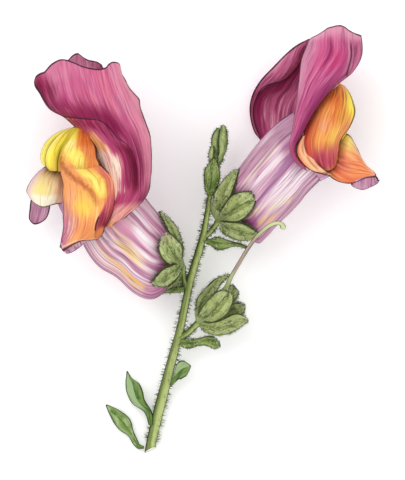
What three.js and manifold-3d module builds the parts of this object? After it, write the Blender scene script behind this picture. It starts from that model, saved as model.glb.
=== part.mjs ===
// A cut snapdragon stem (Antirrhinum majus) laid on its side.
// The surface it lies on is z = 0. +Y runs from the cut end to the bud tip.
import * as THREE from "three";
import { mergeVertices } from "three/addons/utils/BufferGeometryUtils.js";
import Module from "manifold-3d";

const wasm = await Module();
wasm.setup();

// ---- driving dimensions, millimetres ----
const STEP = 0.22; // one plan unit; plan x runs right, plan y runs down
const CENTRE_X = 201.8; // plan point that lies at the origin
const CENTRE_Y = 238.9;
const PETAL = 0.6; // thickness of petals
const BLADE = 0.6; // thickness of sepals, bracts and leaves
const WALL = 0.6; // thickness of the corolla tubes
const GAP = 0.32; // clearance kept between neighbouring pieces
const DOME = 0.2; // most that a blade rises, as a share of its width
const FINEST = 0.09; // relief smaller than this is not kept
const FLOOR_DEPTH = 20; // how far the trimming block reaches under the surface
const FLOOR_WIDTH = 300;

// ---- numbers to points ----
function plan([x, y, z]) {
  return new THREE.Vector3((x - CENTRE_X) * STEP, (CENTRE_Y - y) * STEP, z);
}

// Point at place t (0 to 1) of a Catmull-Rom curve through rows of numbers.
function through(points, t) {
  const last = points.length - 1;
  const place = Math.min(Math.max(t, 0), 1) * last;
  const i = Math.min(Math.floor(place), last - 1);
  const f = place - i;
  const b = points[i];
  const c = points[i + 1];
  const a = i > 0 ? points[i - 1] : b.map((v, k) => 2 * v - c[k]);
  const d = i + 2 <= last ? points[i + 2] : c.map((v, k) => 2 * v - b[k]);
  return b.map((v, k) => {
    const slope0 = (c[k] - a[k]) / 2;
    const slope1 = (d[k] - v) / 2;
    const rise = c[k] - v;
    const cubic = slope0 + slope1 - 2 * rise;
    const square = 3 * rise - 2 * slope0 - slope1;
    return v + f * (slope0 + f * (square + f * cubic));
  });
}

function resample(points, count) {
  return Array.from({ length: count + 1 }, (_, i) => through(points, i / count));
}

// A net of control rows turned into an even net of (down + 1) x (across + 1) points.
function net(rows, down, across) {
  const wide = rows.map((row) => resample(row, across));
  const columns = wide[0].map((_, k) => resample(wide.map((row) => row[k]), down));
  return Array.from({ length: down + 1 }, (_, i) => columns.map((column) => plan(column[i])));
}

// ---- nets to closed solids ----
function fromTriangles(points, triangles) {
  const geometry = new THREE.BufferGeometry();
  const flat = points.flatMap((p) => [p.x, p.y, p.z]);
  geometry.setAttribute("position", new THREE.Float32BufferAttribute(flat, 3));
  geometry.setIndex(triangles);
  return geometry;
}

function netNormals(grid) {
  const down = grid.length - 1;
  const across = grid[0].length - 1;
  return grid.map((row, i) =>
    row.map((_, j) => {
      const alongRow = grid[i][Math.min(j + 1, across)].clone().sub(grid[i][Math.max(j - 1, 0)]);
      const alongColumn = grid[Math.min(i + 1, down)][j].clone().sub(grid[Math.max(i - 1, 0)][j]);
      return alongColumn.cross(alongRow).normalize();
    })
  );
}

// The net with its edge points moved outward by the given reach.
function widened(grid, reach) {
  const down = grid.length - 1;
  const across = grid[0].length - 1;
  const away = (from, to) => from.clone().sub(to).setLength(reach);
  return grid.map((row, i) =>
    row.map((p, j) => {
      const moved = p.clone();
      if (i === 0) moved.add(away(p, grid[1][j]));
      if (i === down) moved.add(away(p, grid[down - 1][j]));
      if (j === 0) moved.add(away(p, row[1]));
      if (j === across) moved.add(away(p, row[across - 1]));
      return moved;
    })
  );
}

// A sheet with two alike faces, the given thickness apart, and a closed rim;
// extra grows it on every side.
function slab(sheet, thin, extra = 0) {
  const grid = extra > 0 ? widened(sheet, extra) : sheet;
  const thickness = thin + 2 * extra;
  const normals = netNormals(grid);
  const down = grid.length;
  const across = grid[0].length;
  const face = (side) =>
    grid.flatMap((row, i) =>
      row.map((p, j) => p.clone().addScaledVector(normals[i][j], (side * thickness) / 2))
    );
  const points = [...face(1), ...face(-1)];
  const back = down * across;
  const triangles = [];
  for (let i = 0; i < down - 1; i++) {
    for (let j = 0; j < across - 1; j++) {
      const a = i * across + j;
      const b = a + 1;
      const c = a + across;
      const d = c + 1;
      triangles.push(a, c, b, b, c, d);
      triangles.push(back + a, back + b, back + c, back + b, back + d, back + c);
    }
  }
  const rim = rimOf(down, across);
  rim.forEach((a, k) => {
    const b = rim[(k + 1) % rim.length];
    triangles.push(a, b, back + a, b, back + b, back + a);
  });
  return fromTriangles(points, triangles);
}

function rimOf(down, across) {
  const rim = [];
  for (let j = 0; j < across - 1; j++) rim.push(j);
  for (let i = 0; i < down - 1; i++) rim.push(i * across + across - 1);
  for (let j = across - 1; j > 0; j--) rim.push((down - 1) * across + j);
  for (let i = down - 1; i > 0; i--) rim.push(i * across);
  return rim;
}

// Closed skin over a stack of rings, with a pole point at each end.
function skin(rings, first, last) {
  const sides = rings[0].length;
  const points = [first, ...rings.flat(), last];
  const end = points.length - 1;
  const triangles = [];
  for (let k = 0; k < sides; k++) {
    const next = (k + 1) % sides;
    triangles.push(0, 1 + next, 1 + k);
    const base = 1 + (rings.length - 1) * sides;
    triangles.push(end, base + k, base + next);
    for (let i = 0; i < rings.length - 1; i++) {
      const low = 1 + i * sides;
      const high = low + sides;
      triangles.push(low + k, low + next, high + k, low + next, high + next, high + k);
    }
  }
  return fromTriangles(points, triangles);
}

// A round rod through [x, y, z, radius] points.
function rod(points, along, sides, extra = 0) {
  const stations = resample(points, along);
  const centres = stations.map(plan);
  const rings = centres.map((centre, i) => {
    const before = centres[Math.max(i - 1, 0)];
    const after = centres[Math.min(i + 1, along)];
    const ahead = after.clone().sub(before).normalize();
    const side = new THREE.Vector3(0, 0, 1).cross(ahead).normalize();
    const up = ahead.clone().cross(side);
    const radius = stations[i][3] + extra;
    return ringPoints(centre, side, up, radius, radius, sides);
  });
  const start = centres[0].clone();
  const finish = centres[along].clone();
  start.addScaledVector(centres[0].clone().sub(centres[1]).normalize(), extra);
  finish.addScaledVector(centres[along].clone().sub(centres[along - 1]).normalize(), extra);
  return skin(rings, start, finish);
}

function ringPoints(centre, side, up, wide, high, sides) {
  return Array.from({ length: sides }, (_, k) => {
    const angle = (2 * Math.PI * k) / sides;
    return centre
      .clone()
      .addScaledVector(side, wide * Math.cos(angle))
      .addScaledVector(up, high * Math.sin(angle));
  });
}

// A cup: rings between two outline points, [xa, ya, xb, yb, z, half depth],
// closed at the pole and open at the last station.
function cup(pole, stations, along, sides, wall, extra = 0) {
  const outer = resample(stations, along);
  const ring = (station, inset) => {
    const [xa, ya, xb, yb, z, depth] = station;
    const a = plan([xa, ya, z]);
    const b = plan([xb, yb, z]);
    const side = a.clone().sub(b).normalize();
    const centre = a.clone().add(b).multiplyScalar(0.5);
    const wide = a.distanceTo(b) / 2 - inset;
    return ringPoints(centre, side, new THREE.Vector3(0, 0, 1), wide, depth - inset, sides);
  };
  const outside = outer.map((station) => ring(station, -extra));
  const inside = outer.map((station) => ring(station, wall + extra)).reverse();
  const bottom = plan(pole);
  const heading = ringCentre(outside[0]).sub(bottom).normalize();
  const outerPole = bottom.clone().addScaledVector(heading, -extra);
  const innerPole = bottom.clone().addScaledVector(heading, wall + extra);
  return skin([...outside, ...inside], outerPole, innerPole);
}

function ringCentre(points) {
  const sum = points.reduce((total, p) => total.add(p), new THREE.Vector3());
  return sum.divideScalar(points.length);
}

// A blade from pairs of edge points, root to tip, domed by the given rise
// but less where it is narrow.
function blade(pairs, rise, along, across, extra) {
  const rows = pairs.map(([left, right]) => {
    const width = STEP * Math.hypot(right[0] - left[0], right[1] - left[1]);
    const top = Math.min(rise, width * DOME);
    return [0, 0.25, 0.5, 0.75, 1].map((s) => {
      const dome = top * (1 - (2 * s - 1) ** 2);
      return left.map((v, k) => v + (right[k] - v) * s + (k === 2 ? dome : 0));
    });
  });
  return slab(net(rows, along, across), BLADE, extra);
}

// ---- solids joined and cut ----
function solid(geometry) {
  const welded = mergeVertices(geometry, 1e-5);
  const mesh = new wasm.Mesh({
    numProp: 3,
    vertProperties: Float32Array.from(welded.attributes.position.array),
    triVerts: Uint32Array.from(welded.index.array),
  });
  const made = new wasm.Manifold(mesh);
  return made.volume() < 0 ? turned(welded) : made;
}

function turned(geometry) {
  const index = geometry.index.array;
  const flipped = new Uint32Array(index.length);
  for (let i = 0; i < index.length; i += 3) {
    flipped[i] = index[i];
    flipped[i + 1] = index[i + 2];
    flipped[i + 2] = index[i + 1];
  }
  const vertProperties = Float32Array.from(geometry.attributes.position.array);
  return new wasm.Manifold(new wasm.Mesh({ numProp: 3, vertProperties, triVerts: flipped }));
}

function joined(geometries) {
  return geometries.map(solid).reduce((sum, part) => sum.add(part));
}

function largest(made) {
  const bodies = made.decompose();
  return bodies.reduce((best, body) => (body.volume() > best.volume() ? body : best));
}

function toGeometry(made) {
  const mesh = made.getMesh();
  const geometry = new THREE.BufferGeometry();
  geometry.setAttribute("position", new THREE.BufferAttribute(mesh.vertProperties, 3));
  geometry.setIndex(new THREE.BufferAttribute(mesh.triVerts, 1));
  return geometry;
}

// ---- stem with its three flower stalks: [x, y, z, radius] ----
const STEM = [
  [150, 451, 1.03, 1.12], [152, 440, 1.15, 1.1], [157.5, 416, 1.9, 1.12], [165, 387, 3, 1.08],
  [172, 360, 4.2, 0.97], [180, 330, 5.6, 0.86], [185, 306, 6.6, 0.84], [191.2, 277, 7.6, 0.84],
  [200, 248, 8.6, 0.82], [204, 232, 9.1, 0.66], [207, 215, 9.4, 0.6], [209.7, 197, 9.6, 0.5],
  [211.5, 186, 9.6, 0.45], [213, 176, 9.4, 0.4],
];
const LEFT_STALK = [
  [187, 291, 7.2, 0.6], [184, 280, 7.5, 0.56], [183, 271, 7.8, 0.55], [183, 266, 8, 0.7],
];
const RIGHT_STALK = [
  [203, 239, 9, 0.6], [211, 231, 9.1, 0.55], [215, 226, 9, 0.55], [217.5, 222.5, 9, 0.75],
];
const SPENT_STALK = [
  [179, 339, 5.4, 0.7], [188, 333, 6, 0.66], [194, 327, 6.8, 0.66], [198.5, 322.8, 7.4, 0.8],
];

function stemSolids(extra) {
  return [
    rod(STEM, 26, 8, extra),
    rod(LEFT_STALK, 5, 7, extra),
    rod(RIGHT_STALK, 5, 7, extra),
    rod(SPENT_STALK, 5, 7, extra),
  ];
}

// ---- bud cluster ----
const BUD_AXIS = [[213.6, 171.5, 9.4, 0.4], [215, 166, 9.5, 0.45], [217, 159, 9.5, 0.5]];
const RIGHT_BUD = [
  [218.4, 160, 9.6, 0.35], [221.5, 154, 9.9, 0.62], [222.7, 148, 10.2, 0.9],
  [223, 141, 10.5, 1.02], [223, 134, 10.7, 0.9], [223.2, 128, 10.8, 0.6], [223, 124.6, 10.8, 0.2],
];
const BACK_BUD = [
  [217, 160, 9, 0.4], [216.2, 153, 8.6, 0.75], [215.6, 144, 8.4, 0.92],
  [216, 136, 8.5, 0.85], [217.6, 130.5, 8.7, 0.5], [218.8, 127.8, 8.8, 0.2],
];
const LEFT_BUD = [
  [214.5, 167, 9.6, 0.3], [211.8, 160.5, 10.1, 0.52], [211.4, 155, 10.3, 0.64],
  [212, 149.5, 10.4, 0.52], [212.6, 145.4, 10.4, 0.2],
];
const SIDE_BUD = [
  [215.5, 168, 9.5, 0.3], [219, 163, 9.8, 0.45], [221, 159, 10, 0.48], [222.6, 155, 10.1, 0.2],
];

function budSolids(extra) {
  return [
    rod(BUD_AXIS, 2, 7, extra),
    rod(RIGHT_BUD, 9, 8, extra),
    rod(BACK_BUD, 8, 8, extra),
    rod(LEFT_BUD, 6, 7, extra),
    rod(SIDE_BUD, 5, 7, extra),
  ];
}

// ---- bracts and leaves: pairs of edge points, root to tip ----
const BUD_BRACT = [
  [[207.3, 194, 10.5], [213.3, 196, 10.5]], [[204.6, 187, 11.4], [217, 187.7, 11.3]],
  [[204.2, 176, 12.2], [219.7, 178, 11.9]], [[205.2, 169, 12.2], [219.4, 169.5, 11.9]],
  [[208.6, 164, 12], [217.6, 164, 11.7]], [[213.6, 158, 11.5], [215.2, 158, 11.4]],
];
const RIGHT_BRACT = [
  [[208, 239, 10.2], [208, 243.8, 10.2]], [[215.8, 237, 10.6], [215.5, 249, 10.6]],
  [[222.5, 238.2, 10.9], [222, 249.6, 10.7]], [[230, 241, 10.7], [229, 247.6, 10.3]],
  [[239.7, 243.3, 10.2], [238, 246.3, 9.9]], [[246.8, 245.8, 9.8], [246.2, 249, 9.7]],
];
const LEFT_BRACT = [
  [[184, 286.8, 8.8], [183, 292, 8.8]], [[177, 287.6, 8.4], [176, 292.8, 8.2]],
  [[170, 288.6, 7.6], [169.5, 292.9, 7.2]], [[164, 290, 6.6], [163.5, 292.2, 6.2]],
];
const SPENT_BRACT = [
  [[180.5, 339.4, 6.7], [181, 346.8, 6.6]], [[188.7, 338.8, 6.9], [190, 348.7, 6.6]],
  [[198.3, 338.7, 6.7], [199.5, 345.6, 6.3]], [[207, 336.5, 6.4], [207.8, 346.3, 6]],
  [[214, 337.2, 6], [214.5, 349, 5.6]], [[219.8, 342.8, 5.4], [220.6, 346.4, 5.3]],
];
const SMALL_LEAF = [
  [[172, 381.5, 4.1], [170.5, 387.5, 4]], [[175, 370, 4.7], [177.5, 380.4, 4.4]],
  [[178, 363, 5], [182.6, 378.4, 4.7]], [[183, 361.2, 5], [187, 375, 4.7]],
  [[190, 365.2, 4.8], [190.9, 366.8, 4.7]],
];
const FOOT_LEAF = [
  [[148.6, 425.5, 2.4], [153.4, 425.5, 2.5]], [[144.2, 413, 2.4], [151.6, 412.5, 2.5]],
  [[132, 404, 2.2], [144.6, 401, 2.8]], [[126.4, 392.6, 2], [142.4, 392, 2.8]],
  [[125.4, 383, 2], [138.8, 384, 2.6]], [[126, 376.5, 2.2], [132, 379, 2.4]],
  [[126.4, 371.8, 2.4], [127.4, 371.8, 2.4]],
];
const LOOSE_LEAF = [
  [[143.4, 449.4, 1.4], [143.6, 447, 1.5]], [[138, 449.6, 1.3], [139.6, 445.4, 1.4]],
  [[133, 445, 1.2], [137, 440.6, 1.4]], [[127.8, 436.6, 1.1], [132.8, 431, 1.3]],
  [[119.4, 430.8, 1], [131.2, 424, 1.2]], [[113.6, 423.6, 1], [127.6, 417.6, 1.2]],
  [[109, 414.6, 1], [118.2, 410.6, 1.1]], [[105.4, 406.4, 1.1], [106.4, 405.2, 1.1]],
];
const BRACT_RISE = 0.5;
const LEAF_RISE = 0.45;

// ---- calyces: a small cup and five sepals ----
const LEFT_CUP = [
  [184.2, 262.6, 184.2, 267.4, 8, 0.7], [182.4, 255, 182.4, 274.4, 8, 2.2],
  [179.6, 248, 179.6, 279.6, 8, 3.5], [176, 243, 176, 284, 8, 4.6],
];
const LEFT_CUP_POLE = [185, 265, 8];
const LEFT_SEPALS = [
  [
    [[178, 256, 9], [182, 259, 9]], [[175, 247, 10.2], [183, 250, 9.5]],
    [[171, 237, 11], [181.2, 239.6, 9.6]], [[167, 229, 11.4], [176.3, 227, 9.8]],
    [[162.4, 219.5, 11.6], [167.5, 217.3, 10.2]], [[158.2, 212.2, 11.6], [159, 211.5, 11.4]],
  ],
  [
    [[178, 266, 11.6], [181.4, 259, 11.4]], [[168, 263.6, 15], [182, 250, 13.6]],
    [[161.6, 257, 16], [180.6, 244.5, 14.8]], [[158.8, 249, 16.2], [176.5, 239.4, 15.2]],
    [[160.4, 241.4, 16], [171.4, 235, 15.4]], [[164.2, 234.6, 15.6], [165.4, 234, 15.6]],
  ],
  [
    [[178, 262.8, 11.4], [181.6, 268, 10.8]], [[172.7, 265, 14.8], [179, 274.5, 12.6]],
    [[163.8, 268.4, 15.8], [173.6, 280.7, 13.4]], [[156.4, 276, 15.8], [164.6, 286, 13.6]],
    [[151.6, 283.4, 14.6], [152.6, 285, 14.4]],
  ],
  [
    [[179, 270, 8.6], [182.6, 270, 7.4]], [[174, 281, 8.8], [182, 284, 6.6]],
    [[166, 286.6, 8], [177, 289, 6]], [[158, 291, 6.4], [161, 293, 5.6]],
  ],
  [
    [[180, 260, 4.7], [180, 269, 4.7]], [[172, 250, 2.3], [173, 273, 2.1]],
    [[163, 248, 1.3], [162, 274, 1.1]], [[155, 252, 1], [153, 268, 0.9]],
    [[149, 258.6, 1.1], [148.4, 260, 1.1]],
  ],
];
const RIGHT_CUP = [
  [214.9, 219.8, 219, 223.4, 9, 0.7], [211.5, 214, 226.1, 226, 9, 2.2],
  [209.8, 208.8, 233.6, 228.2, 9, 3.5], [210, 203.8, 240.4, 229.4, 9, 4.6],
];
const RIGHT_CUP_POLE = [216.2, 222.7, 9];
const RIGHT_SEPALS = [
  [
    [[214.6, 214, 10.4], [221, 213, 12.6]], [[213.2, 204, 11.5], [226.5, 203, 14]],
    [[214.9, 194, 11.8], [231.5, 194.5, 14.4]], [[220.6, 184.6, 11.8], [234.4, 186, 14]],
    [[228.3, 175, 11.8], [237.4, 176.6, 13.2]], [[237, 169.3, 12], [238.2, 169.4, 12.2]],
  ],
  [
    [[220, 215, 12.8], [222.4, 221, 12.4]], [[224.6, 205.4, 15.4], [232, 221.6, 15.2]],
    [[232, 196, 17], [240.4, 220.4, 16.8]], [[240.4, 192.4, 17.6], [248, 214.2, 17.2]],
    [[248.4, 192, 17.4], [252.8, 207, 17.2]], [[254.2, 196, 17], [255.4, 199.6, 17]],
  ],
  [
    [[220.6, 220.6, 12.2], [219.6, 224.8, 10.8]], [[229, 222, 14.8], [222.6, 231, 11.8]],
    [[238.4, 222, 16], [230, 236.8, 12.8]], [[247.2, 225, 16.2], [240, 240.2, 13.2]],
    [[254, 229.6, 15.8], [250, 239.6, 13.6]], [[258, 233.4, 15], [257.2, 236, 14.6]],
  ],
  [
    [[214.8, 212, 7.4], [217, 220, 5.6]], [[219, 197, 4.2], [228, 215, 3]],
    [[230, 184, 3], [239, 205, 1.9]], [[240, 178, 2.6], [248, 194, 1.6]],
    [[249, 179.6, 2.2], [250.6, 182, 2]],
  ],
  [
    [[219, 218, 5.4], [218, 225, 7]], [[229, 218, 2.9], [224, 233, 4.4]],
    [[240, 218, 1.9], [236, 237, 3.4]], [[250, 220, 1.6], [246, 233, 2.6]],
    [[257, 222.4, 1.8], [256.4, 224.6, 1.9]],
  ],
];
const SPENT_CUP = [
  [195.6, 320.2, 200.4, 325.6, 7.6, 0.75], [194.8, 314.8, 206.2, 327.4, 7.8, 1.9],
  [196, 309, 213, 328, 8, 2.8],
];
const SPENT_CUP_POLE = [197, 323.8, 7.5];
const SPENT_SEPALS = [
  [
    [[197, 317.6, 7], [201, 315, 6]], [[195.8, 309, 6], [203, 309, 5.4]],
    [[197, 299.5, 5.6], [209, 300.5, 5.4]], [[204.4, 290, 5.4], [216, 291.6, 5.2]],
    [[213, 281, 5.6], [220.4, 284.4, 5.4]], [[221, 276.6, 5.8], [225.8, 279, 5.6]],
    [[229.2, 274.2, 6], [229.8, 275.2, 6]],
  ],
  [
    [[198.6, 318.6, 9.2], [203, 322.6, 9.4]], [[199.6, 312, 11], [214.6, 321.3, 11.4]],
    [[204, 304.5, 12.6], [226, 314.8, 12.8]], [[211, 297, 13], [231.5, 306, 13]],
    [[219, 291.4, 13], [233, 298, 12.8]], [[227, 290.2, 12.6], [229.6, 291, 12.6]],
  ],
  [
    [[203.6, 315, 5.5], [206.6, 320, 5.5]], [[215, 303, 6], [221, 311, 6]],
    [[223.4, 292, 6.6], [232, 303, 6.6]], [[229.4, 286.4, 7.2], [237.4, 296.4, 7.2]],
    [[234.6, 286, 7.6], [237.6, 289.8, 7.6]],
  ],
  [
    [[204.4, 318.6, 5.6], [204, 324.4, 6]], [[219, 309, 6.8], [219, 321, 7]],
    [[233, 304, 8], [230, 317, 8]], [[240.5, 303.8, 8.6], [240, 315, 8.6]],
    [[245.6, 307.5, 8.8], [245, 311, 8.8]],
  ],
  [
    [[202, 321.4, 9.6], [200, 326.6, 8.6]], [[210.5, 322.5, 11], [205.5, 331.6, 9.2]],
    [[220, 320.6, 11.8], [216, 335, 9.8]], [[230, 315.4, 12], [228, 333.6, 10]],
    [[239.4, 313.8, 11.6], [237, 329.2, 10.2]], [[247.8, 318.8, 10.6], [248.4, 321, 10.4]],
  ],
];
const SEPAL_RISE = 0.55;

function calyxSolids(pole, stations, sepals, extra) {
  const petals = sepals.map((pairs) => blade(pairs, SEPAL_RISE, 5, 4, extra));
  return [cup(pole, stations, 3, 12, WALL, extra), ...petals];
}

// ---- corolla tubes: [top x, top y, bottom x, bottom y, z, half depth] ----
const LEFT_TUBE_POLE = [177, 262, 8];
const LEFT_TUBE = [
  [174.6, 248, 174.6, 278, 7.8, 3.4], [170.4, 236, 167, 289, 7.9, 5.3],
  [165.6, 224.6, 158.6, 297, 8.3, 6.2], [160.4, 216, 147.6, 299.6, 9, 6.6],
  [153, 206.6, 133, 293, 10.2, 6.8], [146, 197.6, 116.4, 278, 11.4, 6.8],
  [140.6, 190, 101.3, 269, 12.6, 6.8], [136, 184, 91.6, 259, 13.4, 6.8],
  [130, 177, 83.6, 245.4, 14, 6.9], [121, 168, 80, 234, 14.4, 7],
];
const RIGHT_TUBE_POLE = [226, 213, 9];
const RIGHT_TUBE = [
  [226.4, 198, 240.6, 226, 9, 3.4], [228.4, 185, 250, 238, 9.2, 5.2],
  [233.4, 175, 258.6, 243.6, 9.7, 6.1], [241.4, 164, 266.4, 237.6, 10.6, 6.5],
  [251.3, 151, 277, 226, 11.6, 6.7], [260, 140.3, 289, 214.4, 12.5, 6.8],
  [268.7, 130.6, 299, 203.8, 13.2, 6.8], [278, 122, 307, 193.4, 13.9, 6.8],
  [293, 111.6, 321, 179.4, 14.4, 6.8],
];

// ---- left bloom: upper lip ----
// Rows run from the corner of the mouth to the free edge, columns from the
// outer edge in to the fold along the middle of the lip.
const LEFT_NEAR_PAGE = [
  [
    [112.6, 225, 21.4], [110.6, 225.8, 21.6], [108.6, 226.4, 21.6], [106.4, 226.8, 21.2],
    [104.2, 227.2, 20.6], [101.6, 227.6, 19.8], [99, 228, 19],
  ],
  [
    [129, 212, 21.6], [124.4, 213.4, 22.2], [119.6, 214.4, 22.4], [115, 215, 22.2],
    [110, 215.4, 21.2], [105, 215.6, 19.6], [100, 215.6, 18.4],
  ],
  [
    [146, 196.5, 20], [141, 197, 21.4], [135, 198, 21.8], [127, 199, 22.6],
    [118.6, 200, 22.6], [111, 200, 20], [104, 200, 18],
  ],
  [
    [152, 178, 20.8], [146, 179, 22.2], [138.5, 180, 21.2], [129, 181, 22.8],
    [119, 182, 23.2], [110.6, 182, 20.4], [103, 182, 17.8],
  ],
  [
    [151.8, 155, 22], [145.5, 157, 23.4], [137, 160, 21.6], [127, 161, 22.8],
    [115, 161, 23.6], [105, 162, 21.2], [96, 163, 17.8],
  ],
  [
    [149, 131, 23], [141, 134, 24.4], [131, 141, 22.6], [120, 145, 22.6],
    [108, 146, 23.2], [98, 147, 21], [89, 147, 17.4],
  ],
  [
    [142.2, 109, 24], [133, 113, 25.4], [121.5, 119, 25], [109, 127, 22.6],
    [97, 130, 22.6], [87, 131, 20.6], [79, 131, 17.6],
  ],
  [
    [135, 92, 24.5], [125, 95, 26], [112, 100, 26.4], [99, 107, 25.4],
    [87, 115, 22.8], [75, 118, 21], [65, 117.5, 19.6],
  ],
  [
    [127.5, 79, 24.6], [118, 79, 26], [106, 83, 27.2], [92, 88, 27.2],
    [77, 95, 26.2], [62, 102, 24.4], [48.5, 107.5, 21.4],
  ],
  [
    [121, 69, 24], [114, 62.2, 25], [103.5, 68.6, 27], [87, 68, 27.8],
    [68, 60.5, 27], [48, 69.5, 25.4], [34.5, 82, 22],
  ],
];
const LEFT_FAR_PAGE = [
  [[100, 222, 7], [96, 223, 6.9], [92, 223.5, 6.9], [88, 224, 7], [84, 224, 7.4]],
  [[116, 207, 5], [110, 208, 5.2], [103, 208, 5.6], [96, 208, 6.2], [89, 208, 7.2]],
  [[127, 186, 3.4], [119, 187, 3.8], [109, 188, 4.6], [99, 189, 5.6], [90, 190, 7]],
  [[131, 160, 1.6], [121, 162, 1.8], [108, 164, 3.4], [95, 165, 5.8], [85, 165, 8.6]],
  [[128, 134, 0.5], [117, 136, 0.5], [103, 139, 2.8], [88, 142, 6.6], [80, 146, 11.4]],
  [[122, 108, 0.4], [111, 112, 0.3], [97, 117, 3.6], [83, 124, 9], [79, 131, 16.6]],
  [[114, 88, 1.2], [103, 92, 1.4], [88, 98, 5], [73, 106, 12], [65, 117.5, 19.4]],
  [[107, 72, 3], [96, 74, 3.4], [81, 80, 7], [62, 90, 14], [48.5, 107.5, 21.2]],
  [[102.5, 62.4, 5], [90, 59.5, 5.4], [77, 53, 8], [60, 67, 15], [34.8, 82.4, 21.8]],
];
const LEFT_ROOF = [
  [[108, 188, 20], [117, 176, 18], [120, 171, 14.4], [115, 175, 9.4], [101, 187, 5.8]],
  [[99, 164, 19], [107, 155, 17.4], [110, 151, 14.4], [103, 155, 10], [88, 164, 7.6]],
  [[91, 147, 18.2], [95, 141, 17], [96, 138, 14.8], [90, 140, 12], [80, 147, 10.6]],
  [[80, 131, 17.8], [81, 129, 17.4], [81.6, 128, 16.6], [80, 129, 16], [78, 131, 15.6]],
];

// ---- left bloom: palate ----
const LEFT_PALATE = [
  [
    [72, 128.5, 17.4], [75, 127.6, 17.9], [77, 127.2, 18], [79, 127.2, 18],
    [81, 127.7, 18], [83, 128.7, 17.6],
  ],
  [
    [62, 133.5, 18.4], [66, 134, 20], [71.5, 135, 20.4], [77, 134.5, 21],
    [82, 133.5, 20.6], [87.4, 133.6, 19.2],
  ],
  [
    [54.5, 140, 18.8], [60, 141, 21.4], [67, 141.5, 21.2], [75, 141, 23],
    [83, 140.5, 22.6], [91.8, 140.4, 20.2],
  ],
  [
    [48.5, 148.5, 19], [54, 149.5, 22.2], [62, 149.5, 21.6], [72, 149.5, 24.2],
    [84, 149, 24], [96.2, 148.5, 21.2],
  ],
  [
    [45.6, 158, 19], [51, 158.5, 22.4], [59.3, 158.5, 21.2], [70, 158, 24.6],
    [84, 158.5, 24.6], [97.6, 158, 21.8],
  ],
  [
    [46.4, 166, 18.4], [51.5, 166.5, 21.4], [58.5, 165.5, 20.4], [68, 165, 23.6],
    [83, 166, 24], [101, 163.6, 21.8],
  ],
  [
    [50.5, 170.5, 17.4], [53.5, 171.3, 18.4], [58.5, 171.4, 18.6], [66, 171, 21.2],
    [82, 171.6, 22.2], [102.6, 168, 21],
  ],
];
const LEFT_FAR_HUMP = [
  [[74, 131, 11], [70, 128.4, 14.2], [72, 128.8, 16.6], [74, 128.2, 17.8]],
  [[64, 137, 10], [60, 132, 14.4], [61.6, 133.6, 17.8], [64.6, 134, 19.5]],
  [[56, 146, 9.8], [50, 138.6, 14.6], [54, 140.2, 18.2], [57.6, 140.6, 20.4]],
  [[50, 156, 9.8], [43.4, 147.6, 14.8], [48, 148.8, 18.4], [51.8, 149, 21]],
  [[48, 163, 10.4], [41, 157, 14.8], [45.2, 158.5, 18.4], [49, 158.4, 21.2]],
  [[49, 166, 12.4], [43, 164.4, 15], [46, 166, 17.8], [49.6, 166.2, 20.4]],
];

// ---- left bloom: lower lip ----
const LEFT_NEAR_LOBE = [
  [
    [62, 171.6, 16.8], [68, 171, 18], [77, 170.8, 19.4], [87, 170.4, 20], [96, 167.6, 19.9],
    [104, 163.4, 19.6],
  ],
  [
    [63.2, 183, 18.8], [70, 184, 21.2], [79, 185, 22.8], [91, 183, 23.6], [103, 180, 23.2],
    [115, 180, 21],
  ],
  [
    [63, 200, 19.5], [71, 201, 22], [80, 201, 23.6], [93, 200, 24.6], [105, 197, 24.2],
    [115.7, 195, 21.6],
  ],
  [
    [63.6, 216, 20], [72, 217, 22.4], [82, 217.5, 24], [92, 216.5, 24.8], [102, 213, 24.6],
    [112.8, 212, 22],
  ],
  [
    [62.6, 231, 20.8], [71, 231, 22.8], [80, 230, 24.2], [89, 229.4, 24.6], [97, 228.6, 24.2],
    [105.6, 226.6, 22.8],
  ],
  [
    [60, 243, 22.3], [67, 241.5, 23.6], [75, 238.5, 24.2], [84, 236.5, 24.3], [93, 237, 23.6],
    [103, 234, 22.2],
  ],
  [
    [60.5, 252.5, 23.2], [66, 248.5, 24.2], [72, 244.5, 24], [79.5, 240.8, 23.6],
    [88, 239.5, 22.8], [98, 239, 21.6],
  ],
  [
    [62, 254, 22], [69, 253.2, 22], [74.4, 251, 21.6], [80.6, 246.6, 21.2],
    [85.6, 242, 21], [93, 240.4, 20.2],
  ],
];
const LEFT_MIDDLE_LOBE = [
  [[45, 166.4, 15], [49.6, 168, 15.6], [54, 169, 15.9], [59, 169.8, 16], [65, 170.6, 16]],
  [[36.6, 173.6, 15.6], [42, 175, 17.2], [49, 176, 17.6], [57, 178, 17.5], [65, 180, 16.8]],
  [[29.5, 183, 15.8], [37, 186, 18.2], [46, 188, 19], [56, 188, 18.6], [65.5, 189, 17.2]],
  [[26.5, 191, 15.4], [34, 196, 17.8], [44, 198, 18.6], [54, 197, 18.4], [64, 198, 17.2]],
  [[31, 199.5, 14.4], [37, 204.5, 16], [44, 207.3, 17], [52, 205, 17.2], [61, 203.4, 16.6]],
];
const LEFT_FAR_LOBE = [
  [[44, 179, 12.6], [47, 181, 12.2], [50, 183, 11.8], [54, 184, 11.4]],
  [[36, 190, 10.8], [42, 191, 10.2], [48, 192, 10], [54, 192, 10.4]],
  [[31, 199, 9.8], [37, 201, 8.8], [44, 202, 8.8], [50.5, 203, 9.8]],
  [[29.5, 210, 8.8], [35, 212, 7.8], [42, 212, 8], [49, 211, 9.1]],
  [[28.8, 218, 8.4], [33.5, 221, 7.4], [40, 220, 7.6], [46.5, 217.5, 8.4]],
  [[31, 222.5, 8.2], [34, 224.3, 7.8], [38.5, 223.5, 8], [43, 221, 8.4]],
];
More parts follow.
